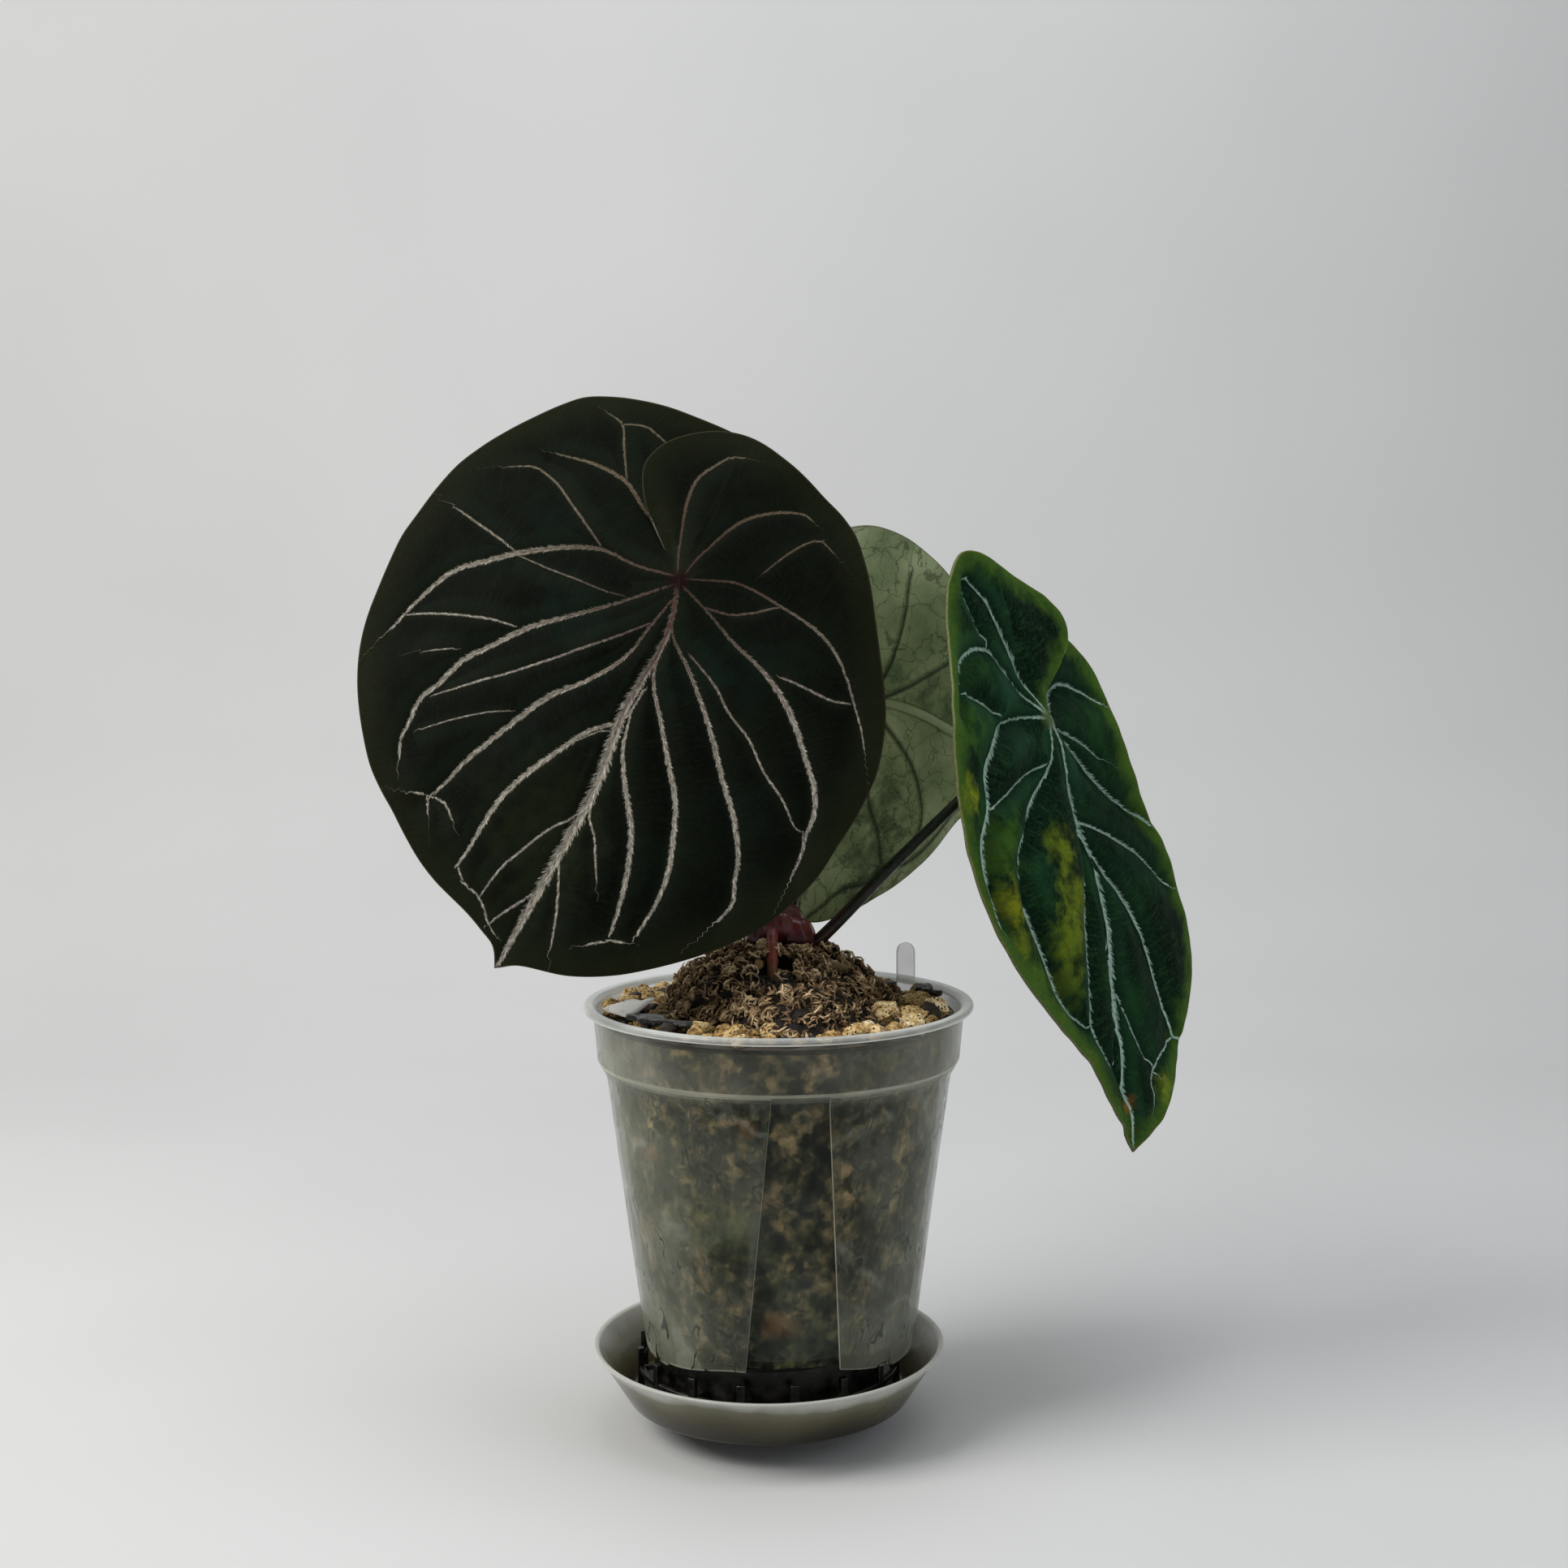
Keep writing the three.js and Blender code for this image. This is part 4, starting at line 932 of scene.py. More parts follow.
packet = {
    "width": 14.5, "length": 11, "thick": 2.2, "seam": 0.16, "lift": 2.6,
    "at": (-41.2, -15.5, 125.0), "turn": -0.98, "tilt": 0.16,
}
bm = bmesh.new()
bmesh.ops.create_cube(bm, size=2)
bmesh.ops.subdivide_edges(bm, edges=bm.edges, cuts=31, use_grid_fill=True)
shape = Matrix.Translation(packet["at"]) @ Matrix.Rotation(packet["turn"], 4, "Z")
shape = shape @ Matrix.Rotation(packet["tilt"], 4, "X")
for vert in bm.verts:
    x, y, z = vert.co
    edge = max((1 - x**4) * (1 - y**4), 0) ** 0.5
    crease = 0.22 * noise.noise(Vector((x * 2.3, y * 1.7, 3)))
    crease += 0.08 * noise.noise(Vector((x * 6, y * 6, 7)))
    drawn = 0.96 + 0.04 * edge
    x, y = x * packet["width"] / 2 * drawn, y * packet["length"] / 2 * drawn
    lift = packet["lift"] * float(smooth(2, 13, np.float64(x + y)))
    swell = packet["seam"] + edge * (packet["thick"] / 2 - packet["seam"])
    vert.co = shape @ Vector((x, y, z * swell + crease * edge + lift))
piece = finishPiece("fleecePillow", bm, [fleeceLook()], ["fleece_packet"], 60)

labelLook = clearPlastic("labelPlastic", ("bfc3bc", "d2d5ce"), 0.16, 0.85, 0.16, 60)
label = {
    "width": 6.1, "thick": 1.6, "foot": 109.5, "top": 137, "turn": -0.5, "at": (44.6, 31, 0),
    "columns": 16, "rows": 24,
}


# A tab with a round top
def labelPlace(column, row):
    half = label["width"] / 2
    across = (column / label["columns"] - 0.5) * 2
    top = label["top"] - half + np.sqrt(np.maximum(half**2 - (across * half) ** 2, 0))
    z = label["foot"] + (top - label["foot"]) * row / label["rows"]
    return np.stack([across * half, 0 * across, z], axis=1)


bm = bmesh.new()
gridInto(bm, label["columns"], label["rows"], labelPlace)
bmesh.ops.rotate(bm, verts=bm.verts, cent=(0, 0, 0), matrix=Matrix.Rotation(label["turn"], 3, "Z"))
bmesh.ops.translate(bm, verts=bm.verts, vec=label["at"])
piece = finishPiece("plantLabel", bm, [labelLook], ["plant_label"], 60, outward=False)
addShell(piece, label["thick"])
addBevel(piece, 0.35, 3)

print("stage: crown, roots, stalks")


# Skin of a stem or root, coloured by height from low to high
def skinLook(name, stops, low, high, roughness):
    look = Look(name)
    place = look.place()
    grain = look.noise(look.stretch(place, (1, 1, 0.3)), 500, 4.0)
    along = look.between(look.split(place)[2], low, high)
    along = look.plus(along, look.between(grain, 0.3, 0.7, -0.12, 0.12))
    return look.set(
        Base_Color=look.ramp(along, *stops),
        Roughness=look.between(grain, 0.3, 0.75, roughness - 0.08, roughness + 0.2),
        Specular_IOR_Level=0.3,
        Coat_Weight=0.08,
        Coat_Roughness=0.3,
        Normal=look.bump(grain, 0.35, 0.0006),
    ).material


crownLook = skinLook(
    "crownSkin", [(0.0, "241110"), (0.4, "431a1b"), (0.7, "642529"), (1.0, "4a2a22")], 0.135, 0.156, 0.26
)
bm = bmesh.new()
crownShape = {
    "route": [(6.5, 1, 129), (5, -0.5, 138), (3.6, -1.5, 146), (2.6, -0.5, 153)],
    "radii": [6.2, 4.6, 3.4], "steps": 30, "sides": 32,
}
route = splineThrough(crownShape["route"], crownShape["steps"])
radii = np.interp(np.linspace(0, 1, len(route)), [0, 0.9, 1], crownShape["radii"])
tubesInto(bm, [route], [radii], crownShape["sides"])
buds = [
    ((8.6, -2.6, 144.5), (6.6, 5.6, 6)), ((-1, -2.4, 144.8), (5.5, 5, 5.6)),
    ((4.6, 3.4, 147), (7, 6, 7.5)), ((3.4, -4.6, 147.6), (5.4, 4.4, 5.2)),
]
for i, (at, size) in enumerate(buds):
    for vert in ballInto(bm, 4):
        spot = vert.co.copy()
        swell = 1 + 0.1 * noise.noise(spot * 1.6 + Vector((i * 7, 0, 0)))
        swell += 0.03 * math.sin(math.atan2(spot.y, spot.x) * 9)
        vert.co = Vector(at) + Vector([spot[k] * size[k] * swell for k in range(3)])
finishPiece("crownBuds", bm, [crownLook], ["crown"], 70)

rootLook = skinLook(
    "rootSkin", [(0.0, "54482a"), (0.35, "744b34"), (0.7, "80402f"), (1.0, "702f2c")], 0.130, 0.147, 0.4
)
rootShape = {
    "route": [(1.8, -5.5, 148), (1.8, -10, 145.6), (1.8, -14.6, 141), (1.8, -17.8, 135.5), (2, -20, 129.5)],
    "steps": 40, "thick": 1.75, "thin": 1.6, "sides": 24,
}
route = splineThrough(rootShape["route"], rootShape["steps"])
step = np.arange(rootShape["steps"] + 1)
wobble = 1 + 0.05 * np.sin(step * 0.9) + 0.03 * np.sin(step * 2.3)
radii = np.linspace(rootShape["thick"], rootShape["thin"], len(step)) * wobble
tubePiece("hangingRoot", route, radii, rootShape["sides"], rootLook, "aerial_root", 70)


# Growth rings on a cut end and bark away from it
def cutLook(name, centre):
    look = Look(name)
    place = look.place()
    away = look.distance(place, tuple(c * 0.001 for c in centre))
    rings = look.math("SINE", look.times(away, 9000.0))
    face = look.mix(look.between(rings, -1.0, 1.0), "8a6c3e", "c0a26b")
    grain = look.noise(place, 800, 4.0)
    bark = look.ramp(grain, (0.3, "3b2c1a"), (0.7, "76603c"))
    return look.set(
        Base_Color=look.mix(look.between(away, 0.00135, 0.00155), face, bark),
        Roughness=0.7,
        Normal=look.bump(grain, 0.4, 0.0006),
    ).material


for side, start, end in [
    ("Left", (-0.5, -8, 136.4), (-2.4, -16.5, 138.3)), ("Right", (13.5, -13.5, 138.2), (24.5, -14.5, 136.3)),
]:
    name, node = "cutRootStub" + side, "cut_root_" + side.lower()
    route = splineThrough([start, end], 16)
    tubePiece(name, route, np.linspace(1.7, 1.6, 17), 24, cutLook(name + "Wood", end), node, 50)

# Where each stalk meets its blade, the way the blade faces there and the way its tip points
joints = {
    "front": {"at": (-25.5, -16, 252.6), "face": (-0.06, -0.94, 0.34), "tip": (-0.42, -0.29, -0.86)},
    "back": {"at": (33, 40, 213.5), "face": (-0.5, 0.84, 0.2), "tip": (0.76, 0.54, -0.35)},
    "right": {"at": (87.7, 12, 210), "face": (0.79, -0.55, 0.26), "tip": (0.276, -0.055, -0.96)},
}
stalks = {
    "front": [(3.2, -0.5, 148), (-2, -1, 165), (-10, -2.5, 190), (-19, -5, 222), (-25, -6, 244)],
    "back": [(5, 3.2, 145.5), (9, 7, 158), (16, 13, 178), (26, 24, 200)],
    "right": [(9.5, -1.8, 137.8), (17.4, -2, 144.6), (38, 0, 165.3), (58.8, 3.5, 185), (75, 11, 199.5)],
}
stalkLook = skinLook(
    "stalkSkin", [(0.0, "2c1c16"), (0.1, "11190d"), (0.6, "142010"), (1.0, "1b2916")], 0.137, 0.245, 0.3
)
stalkShape = {"low": 2.05, "high": 1.25, "swell": 0.5, "behind": 0.9, "steps": 70, "sides": 28}
share = np.linspace(0, 1, stalkShape["steps"] + 1)
radii = stalkShape["low"] + (stalkShape["high"] - stalkShape["low"]) * share
radii = radii + stalkShape["swell"] * (smooth(0.93, 1, share) + smooth(0.06, 0, share))
for name, route in stalks.items():
    face = unit(np.array(joints[name]["face"]))
    at = np.array(joints[name]["at"])
    route = splineThrough([*route, at - face * 5, at - face * stalkShape["behind"]], stalkShape["steps"])
    tubePiece(name + "Stalk", route, radii, stalkShape["sides"], stalkLook, name + "_petiole", 60)

print("stage: leaves")
# Veins in mm on a blade's flat plan, from its joint: widths at start, middle and end, the half they keep to
frontVeins = {
    "main": (0.6, 1.75, 0.8, "both", [
        [(-1, 1), (-13, 0), (-26, 1), (-36, -2), (-44, -6), (-51, -10), (-58, -15), (-66, -21), (-71, -29),
         (-74, -36), (-77, -45)],
        [(0, -1), (-7, -7), (-17, -15), (-26, -22), (-36, -30), (-43, -38), (-50, -46), (-54, -56),
         (-57, -61), (-57, -69), (-57, -75), (-55, -80)],
        [(1, -6), (-2, -17), (-5, -28), (-12, -38), (-20, -46), (-26, -56), (-32, -67), (-36, -75),
         (-38, -81), (-41, -87)],
        [(5, -34), (3, -44), (-5, -52), (-10, -60), (-16, -70), (-20, -79), (-22, -89), (-23, -97),
         (-24, -102)],
        [(4, -40), (7, -53), (12, -62), (19, -73), (23, -84), (25, -94), (26, -102)],
        [(3, -14), (6, -30), (13, -40), (20, -50), (27, -60), (31, -70), (34, -81), (34, -91), (33, -99)],
        [(1, -3), (5, -15), (14, -23), (23, -32), (30, -40), (37, -49), (44, -57), (50, -67), (52, -74),
         (54, -80), (52, -86)],
        [(2, -1), (12, -5), (22, -10), (33, -14), (42, -19), (49, -25), (56, -33), (62, -40), (65, -47),
         (65, -53), (66, -58), (66, -65)],
    ]),
    "leftLobe": (0.5, 1.3, 0.4, "first", [
        [(0, 0), (-9, 12), (-19, 17), (-29, 24), (-38, 26), (-47, 26), (-54, 25)],
    ]),
    "rightLobe": (0.3, 1, 0.35, "last", [
        [(1, 1), (8, 4), (16, 7), (23, 7), (30, 6), (37, 5), (45, 3), (52, -1), (57, -6), (62, -12),
         (67, -18), (70, -23)],
        [(1, 3), (2, 8), (5, 17), (9, 25), (13, 29), (19, 33), (25, 35), (28, 34)],
        [(-1, 2), (-4, 9), (-7, 18), (-9, 26), (-9, 33), (-6, 39), (-3, 43), (1, 44)],
    ]),
    "midrib": (1.3, 3.4, 1.3, "both", [
        [(0, 0), (3, -10), (4, -21), (3, -30), (2, -42), (3, -53), (4, -63), (4, -73), (3, -82), (2, -93),
         (1, -103), (0, -114), (-1, -124)],
    ]),
    "small": (0.4, 0.72, 0.3, "both", [
        [(4, -66), (2, -76), (-3, -82), (-7, -89), (-11, -97), (-14, -108)],
        [(5, -62), (6, -74), (10, -79), (16, -90)],
        [(-27, 2), (-32, 5), (-40, 10), (-50, 16), (-58, 18), (-66, 15)],
        [(-51, -9), (-62, -6), (-75, -3)],
        [(-40, -31), (-49, -32), (-62, -35), (-74, -39)],
        [(-2, -15), (-12, -25), (-21, -33), (-30, -41), (-40, -49), (-53, -59)],
        [(-42, -87), (-46, -88)],
        [(-42, -87), (-39, -92)],
        [(-42, -87), (-36, -87), (-31, -91)],
        [(-24, -102), (-20, -106), (-14, -108), (-8, -114), (-5, -116)],
        [(3, -96), (-2, -104), (-6, -110), (-8, -114)],
        [(4, -90), (9, -103), (12, -113)],
        [(27, -104), (24, -106), (21, -108)],
        [(27, -104), (31, -103)],
        [(13, -19), (24, -25), (30, -30), (39, -35), (47, -42), (55, -47), (62, -53), (64, -53)],
        [(10, -4), (18, -3), (25, 1), (31, 6)],
        [(40, -14), (49, -14), (56, -14), (62, -12)],
        [(64, -53), (66, -58), (66, -65)],
        [(54, -79), (53, -83), (52, -86)],
    ]),
    "smallLeft": (0.35, 0.6, 0.25, "first", [
        [(-29, 24), (-35, 34), (-39, 41), (-45, 43)],
        [(-39, 41), (-32, 43), (-28, 42), (-23, 40)],
    ]),
    "smallRight": (0.3, 0.5, 0.25, "last", [
        [(22, 13), (26, 21), (30, 27), (33, 29), (38, 27)],
    ]),
    "faint": (0.2, 0.38, 0.15, "both", [
        [(-50, -10), (-38, -11), (-27, -11), (-19, -11), (-13, -10)],
        [(-52, -70), (-44, -64), (-35, -58), (-29, -55)],
        [(-54, -44), (-62, -48)],
        [(5, -48), (-1, -50), (-5, -54), (-9, -58)],
    ]),
}
rightVeins = {
    "main": (0.9, 1.45, 0.7, "both", [
        [(0, 0), (-11, 3), (-21, 3), (-30, -3), (-39, -10), (-43, -19), (-49, -26), (-53, -33), (-55, -42),
         (-56, -53)],
        [(0, 0), (-4, -13), (-16, -22), (-27, -30), (-38, -40), (-38, -53), (-35, -64), (-32, -76),
         (-25, -87), (-17, -94)],
        [(8, -36), (1, -50), (-7, -63), (-12, -76), (-14, -87), (-15, -94), (-13, -102), (-6, -111),
         (-2, -118)],
        [(7, -37), (17, -52), (27, -65), (32, -76), (35, -89), (37, -101), (37, -113)],
        [(8, -34), (24, -42), (40, -51), (52, -60), (60, -67)],
        [(0, 0), (14, -9), (24, -20), (37, -31), (51, -40), (56, -45)],
        [(0, 0), (19, -8), (30, -15), (34, -18)],
        [(0, 0), (9, 1), (24, 9), (32, 8), (42, 3), (46, -1)],
        [(0, 0), (-2, 16), (-4, 29), (-7, 40), (-13, 49)],
        [(0, 0), (-14, 20), (-18, 25), (-25, 27), (-33, 26), (-40, 22), (-44, 16), (-48, 10)],
    ]),
    "midrib": (1.3, 1.9, 0.8, "both", [
        [(0, 0), (5, -10), (6, -23), (7, -33), (11, -46), (11, -58), (10, -68), (6, -83), (3, -95),
         (2, -109), (-1, -119), (0, -126), (-3, -135)],
    ]),
    "small": (0.6, 0.9, 0.4, "both", [
        [(6, -74), (5, -85), (8, -98), (14, -113), (18, -120)],
        [(-43, -20), (-35, -18), (-23, -15), (-7, -13)],
        [(2, -92), (0, -101), (-6, -109)],
        [(37, -113), (41, -115)],
        [(37, -113), (18, -118), (11, -127)],
        [(-42, 15), (-36, 13), (-23, 6)],
        [(-13, 49), (-15, 49), (-21, 44), (-20, 35), (-19, 26)],
    ]),
}
backVeins = {
    "midrib": (2.6, 2.4, 1, "both", [
        [(0, 0), (-3, -6), (-4, -19), (-3, -34), (-2, -60), (0, -88)],
    ]),
    "main": (0.9, 0.75, 0.4, "both", [
        [(0, 0), (6, -12), (12, -23), (19, -31), (27, -36), (33, -37), (40, -35), (47, -33), (48, -28)],
        [(0, 0), (14, -5), (30, -14), (38, -23), (47, -29)],
        [(74, -8), (67, -13), (59, -18), (53, -27), (48, -29), (44, -37), (35, -44), (22, -50), (10, -62)],
        [(0, 0), (-18, -16), (-34, -30)],
        [(0, 0), (-22, 2), (-44, 8)],
        [(0, 0), (-10, 16), (-26, 30)],
        [(0, 0), (22, 12), (46, 20)],
        [(0, 0), (26, 1), (50, 2), (68, -4)],
    ]),
}
# Lines along which a blade is folded down
frontValleys = [
    [(0, 0), (4, -21), (3, -42), (4, -73), (0, -121)],
    [(0, 0), (-25, 1), (-50, -10), (-70, -29), (-76, -45)],
    [(0, 0), (-16, -15), (-43, -38), (-56, -61), (-54, -80)],
    [(0, -18), (-19, -47), (-35, -75), (-40, -88)],
    [(0, 0), (-18, 17), (-38, 25), (-53, 24)],
    [(0, 0), (16, 6), (38, 5), (58, -6), (70, -23)],
    [(0, 0), (33, -14), (56, -33), (65, -53), (67, -65)],
    [(5, -15), (31, -41), (50, -68), (53, -86)],
    [(5, -31), (27, -61), (34, -91)],
]
rightValleys = [
    [(0, 0), (5, -33), (9, -58), (0, -95), (-6, -134)],
    [(0, 0), (-25, 3), (-43, -10), (-56, -33), (-58, -53)],
    [(0, 0), (-19, -22), (-40, -52), (-36, -76), (-21, -94)],
    [(0, 0), (-7, 29), (-15, 49)],
    [(0, 0), (13, 9), (35, 3)],
    [(0, 0), (19, -20), (46, -40)],
    [(4, -37), (24, -65), (35, -100), (34, -113)],
]
backValleys = [
    [(0, 0), (-2, -30), (0, -85)],
    [(0, 0), (14, -20), (30, -35), (48, -33)],
    [(0, 0), (24, -8), (44, -20), (60, -24)],
    [(0, 0), (-18, -16), (-34, -30)],
    [(0, 0), (-22, 2), (-44, 8)],
    [(0, 0), (-10, 16), (-26, 30)],
    [(0, 0), (22, 12), (46, 20)],
]
# Outlines run from one side of the cut between the lobes round to the other
frontOutline = [
    (14, 38), (7, 47), (-4, 51.8), (-20, 52.6), (-36, 51), (-54, 46), (-61, 40.5), (-67.5, 33.5),
    (-73.5, 25.5), (-78, 18), (-81.5, 10.5), (-84, 1.5), (-86, -8.5), (-87.5, -17), (-87.3, -27.5),
    (-86.6, -37), (-85.6, -45), (-83.3, -53), (-79.5, -61.5), (-74, -70.5), (-67.8, -78.8), (-61.8, -85.8),
    (-55.8, -90.8), (-49.5, -95.2), (-42.5, -100.5), (-35, -105.5), (-28, -109), (-22, -111.2),
    (-15.5, -113.5), (-9, -116.5), (-4.5, -119), (-1.5, -124.5), (4, -121.5), (20, -118), (32, -112.5),
    (44, -104), (55, -94), (64.5, -82.5), (68.3, -75.5), (71.2, -68.5), (73.4, -61.5), (74.7, -53),
    (76, -45), (76.6, -37), (76.5, -29), (75.3, -22.3), (72, -11.7), (69, -5.5), (64.5, 2.3), (57, 14.6),
    (52, 22.6), (47, 29.2), (41.5, 35.3), (35, 39.6), (28.5, 42.4), (21, 45.7), (13, 48.4), (0, 51.3),
    (-10, 50), (-17, 46), (-22, 41), (-25, 35.5), (-25.8, 30), (-23.5, 24), (-19.5, 18),
]
rightOutline = [
    (25.5, 18.5), (29.3, 22.5), (31, 26.5), (29.3, 31), (24, 37.5), (17, 42.5), (8, 47.5), (-1, 53),
    (-11.5, 56.5), (-18.5, 56), (-29, 49.5), (-35.5, 42), (-42, 31.5), (-48, 22), (-53.5, 12.5),
    (-57.5, 1.5), (-60.5, -9.5), (-62.5, -19.5), (-64.5, -31), (-64.5, -42.5), (-61.5, -54), (-57.5, -66),
    (-52, -74), (-45.5, -81), (-39.5, -87.5), (-33.5, -93.5), (-28, -99.5), (-24, -104), (-20.5, -111),
    (-16.5, -119), (-12, -125), (-6.5, -130.5), (-4.5, -138), (6, -135.7), (15.5, -133.5), (24.5, -128),
    (33.5, -120), (44, -111), (55.5, -101.5), (62.5, -92), (65, -81.5), (64, -71), (63.5, -62),
    (61, -52.5), (56, -43), (52.5, -32.5), (50, -22.5), (48.7, -12.5), (49, -4), (49.3, 4), (48.5, 9.5),
    (46, 14), (42, 18), (36.5, 22), (28, 27), (19, 29.5), (9, 28),
]
backOutline = [
    (-3, 30), (-7, 41), (-18, 46), (-32, 46), (-44, 41), (-51, 31), (-53.5, 17), (-51.5, 2), (-47, -12),
    (-40, -30), (-30, -50), (-18, -68), (-8, -80), (0, -92), (4, -80), (11, -66), (22, -54.5), (39, -46.5),
    (53, -37), (64, -26.5), (72.5, -14), (73, -1), (68, 13), (58, 27), (45, 38), (30, 43.5), (16, 42),
    (7, 32),
]
leaves = {
    "front": {
        "outline": frontOutline, "veins": frontVeins, "valleys": frontValleys, "spokes": 390, "rings": 100,
        "side": 0.0016, "tip": 0.0011, "tipFrom": 20, "lobes": 0.0012,
        "valley": 1.6, "wave": 0.9, "waves": 7,
        "tucked": "left", "tuck": 5, "crease": 0.55, "puff": 0.5, "ripple": 0.15,
    },
    "back": {
        "outline": backOutline, "veins": backVeins, "valleys": backValleys, "spokes": 260, "rings": 60,
        "side": 0.0006, "tip": 0.0008, "tipFrom": 30, "lobes": 0.001, "valley": 2, "wave": 0.8, "waves": 6,
        "tucked": "left", "tuck": 1, "crease": 0.5, "puff": 0.8, "ripple": 0.3,
    },
    "right": {
        "outline": rightOutline, "veins": rightVeins, "valleys": rightValleys, "spokes": 390, "rings": 100,
        "side": 0.0005, "tip": 0.0008, "tipFrom": 30, "lobes": 0.0012, "valley": 3, "wave": 0.9, "waves": 6,
        "tucked": "right", "tuck": 5, "crease": 0.8, "puff": 2.8, "ripple": 0.35,
    },
}


# Distance from points to the nearest piece of some lines, with which piece and how far along
def nearestPiece(points, starts, ends, halves=None):
    best = np.full(len(points), 1e9)
    which = np.zeros(len(points), int)
    for i, (start, end) in enumerate(zip(starts, ends)):
        step = end - start
        t = np.clip((points - start) @ step / max(step @ step, 1e-9), 0, 1)
        away = np.hypot(*(points - start - t[:, None] * step).T)
        if halves is not None:
            away = away - halves[i]
        closer = away < best
        best[closer] = away[closer]
        which[closer] = i
    return best, which


# Short straight pieces of all the veins, with the way along the vein and the width at both ends
def veinPieces(leaf):
    halves = {"both": 0, "first": -1, "last": 1}
    pieces = {"start": [], "end": [], "along": [], "width": [], "half": []}
    for start, middle, end, half, lines in leaf["veins"].values():
        for line in lines:
            length = sum(math.dist(a, b) for a, b in zip(line, line[1:]))
            points = splineThrough(line, max(int(length / 2.5), 3))
            share = np.linspace(0, 1, len(points))
            widths = [start, (start + middle) / 2, middle, middle * 0.85, end]
            width = np.interp(share, [0, 0.2, 0.5, 0.8, 1], widths)
            pieces["start"].extend(points[:-1])
            pieces["end"].extend(points[1:])
            pieces["along"].extend(zip(length * share, length * share[1:]))
            pieces["width"].extend(zip(width, width[1:]))
            pieces["half"].extend([halves[half]] * (len(points) - 1))
    return {key: np.array(values) for key, values in pieces.items()}


# The outline in even steps, with the tip on the middle one
def bladeRim(leaf):
    outline, half = leaf["outline"], leaf["spokes"] // 2
    tipAt = min(range(len(outline)), key=lambda i: outline[i][1])
    first = splineThrough(outline[:tipAt + 1], half)
    return np.vstack([first, splineThrough(outline[tipAt:], half)[1:]])


# Places on a blade's flat plan, and how far round they are from the lobe that is tucked under
def bladePlan(leaf, rim, column, share):
    angles = np.unwrap(np.arctan2(-rim[:, 0], rim[:, 1]))
    middle = (angles[0] + angles[-1]) / 2
    narrow = min(1, 6.14 / abs(angles[-1] - angles[0]))
    squeeze = narrow + (1 - narrow) * smooth(0.02, 0.12, share)
    angle = middle + (angles[column] - middle) * squeeze
    radius = np.hypot(*rim[column].T) * share
    fromCut = angles[column] - angles[0] if leaf["tucked"] == "left" else angles[-1] - angles[column]
    return -radius * np.sin(angle), radius * np.cos(angle), fromCut


# Height over the flat plan: the blade's cup, folds, waves, tucked lobe, creases at the veins and ripples
def bladeHeight(leaf, pieces, x, y, share, fromCut):
    flat = np.stack([x, y], axis=1)
    folds = np.array([pair for line in leaf["valleys"] for pair in zip(line, line[1:])], float)
    bold = pieces["width"].sum(axis=1) > 1.3
    toFold, _ = nearestPiece(flat, folds[:, 0], folds[:, 1])
    toVein, _ = nearestPiece(flat, pieces["start"][bold], pieces["end"][bold])
    height = -leaf["side"] * x**2 - leaf["tip"] * np.maximum(-y - leaf["tipFrom"], 0) ** 2
    height -= leaf["lobes"] * np.maximum(y, 0) ** 2
    height -= leaf["valley"] * np.exp(-toFold / 6) * smooth(0, 0.3, share)
    height += leaf["wave"] * np.sin(np.arctan2(x, -y) * leaf["waves"]) * smooth(0.6, 1, share)
    height -= leaf["tuck"] * np.maximum(1 - fromCut / 1.8, 0) * smooth(-0.05, 0.4, share)
    height -= leaf["crease"] * np.exp(-toVein / 1.6) * smooth(0.02, 0.2, share)
    height -= leaf["puff"] * np.exp(-toVein / 4.5) * smooth(0.02, 0.3, share) * smooth(1, 0.85, share)
    return height + leaf["ripple"] * lumpsAt(np.stack([x, y, 0 * x], axis=1), (0.16, 1))


# Distance of each point to the outline near its spoke, and to the cut between the lobes
def edgeDistance(rim, flat, column):
    last = len(rim) - 1
    nearSteps, cutSteps = 45, 60
    edge = np.zeros(len(flat))
    for spoke in range(len(rim)):
        near = rim[max(spoke - nearSteps, 0):spoke + nearSteps + 1]
        starts, ends = near[:-1], near[1:]
        if min(spoke, last - spoke) < cutSteps:
            starts = np.vstack([starts, [[0, 0]]])
            ends = np.vstack([ends, rim[0 if spoke < cutSteps else -1]])
        mine = column == spoke
        edge[mine], _ = nearestPiece(flat[mine], starts, ends)
    return edge


def bladeMesh(name, leaf, pieces):
    rim = bladeRim(leaf)

    def place(column, row):
        share = (row / leaf["rings"]) ** 0.85
        x, y, fromCut = bladePlan(leaf, rim, column, share)
        return np.stack([x, y, bladeHeight(leaf, pieces, x, y, share, fromCut)], axis=1)

    bm = bmesh.new()
    placeLayer = bm.verts.layers.float_vector.new("leafPlace")
    halfLayer = bm.verts.layers.float.new("half")
    made, column, _ = gridInto(bm, leaf["spokes"], leaf["rings"], place)
    flat = np.array([vert.co[:2] for vert in made])
    for vert, spot, away, side in zip(made, flat, edgeDistance(rim, flat, column), column / leaf["spokes"]):
        vert[placeLayer] = (*spot, away)
        vert[halfLayer] = side
    bmesh.ops.remove_doubles(bm, verts=bm.verts, dist=0.0005)
    bm.normal_update()
    if sum(face.normal.z * face.calc_area() for face in bm.faces) < 0:
        bmesh.ops.reverse_faces(bm, faces=bm.faces)
    mesh = bpy.data.meshes.new(name)
    bm.to_mesh(mesh)
    bm.free()
    return mesh


def readValues(parts, key, kind=float, width=1):
    values = np.empty(len(parts) * width, kind)
    parts.foreach_get(key, values)
    return values


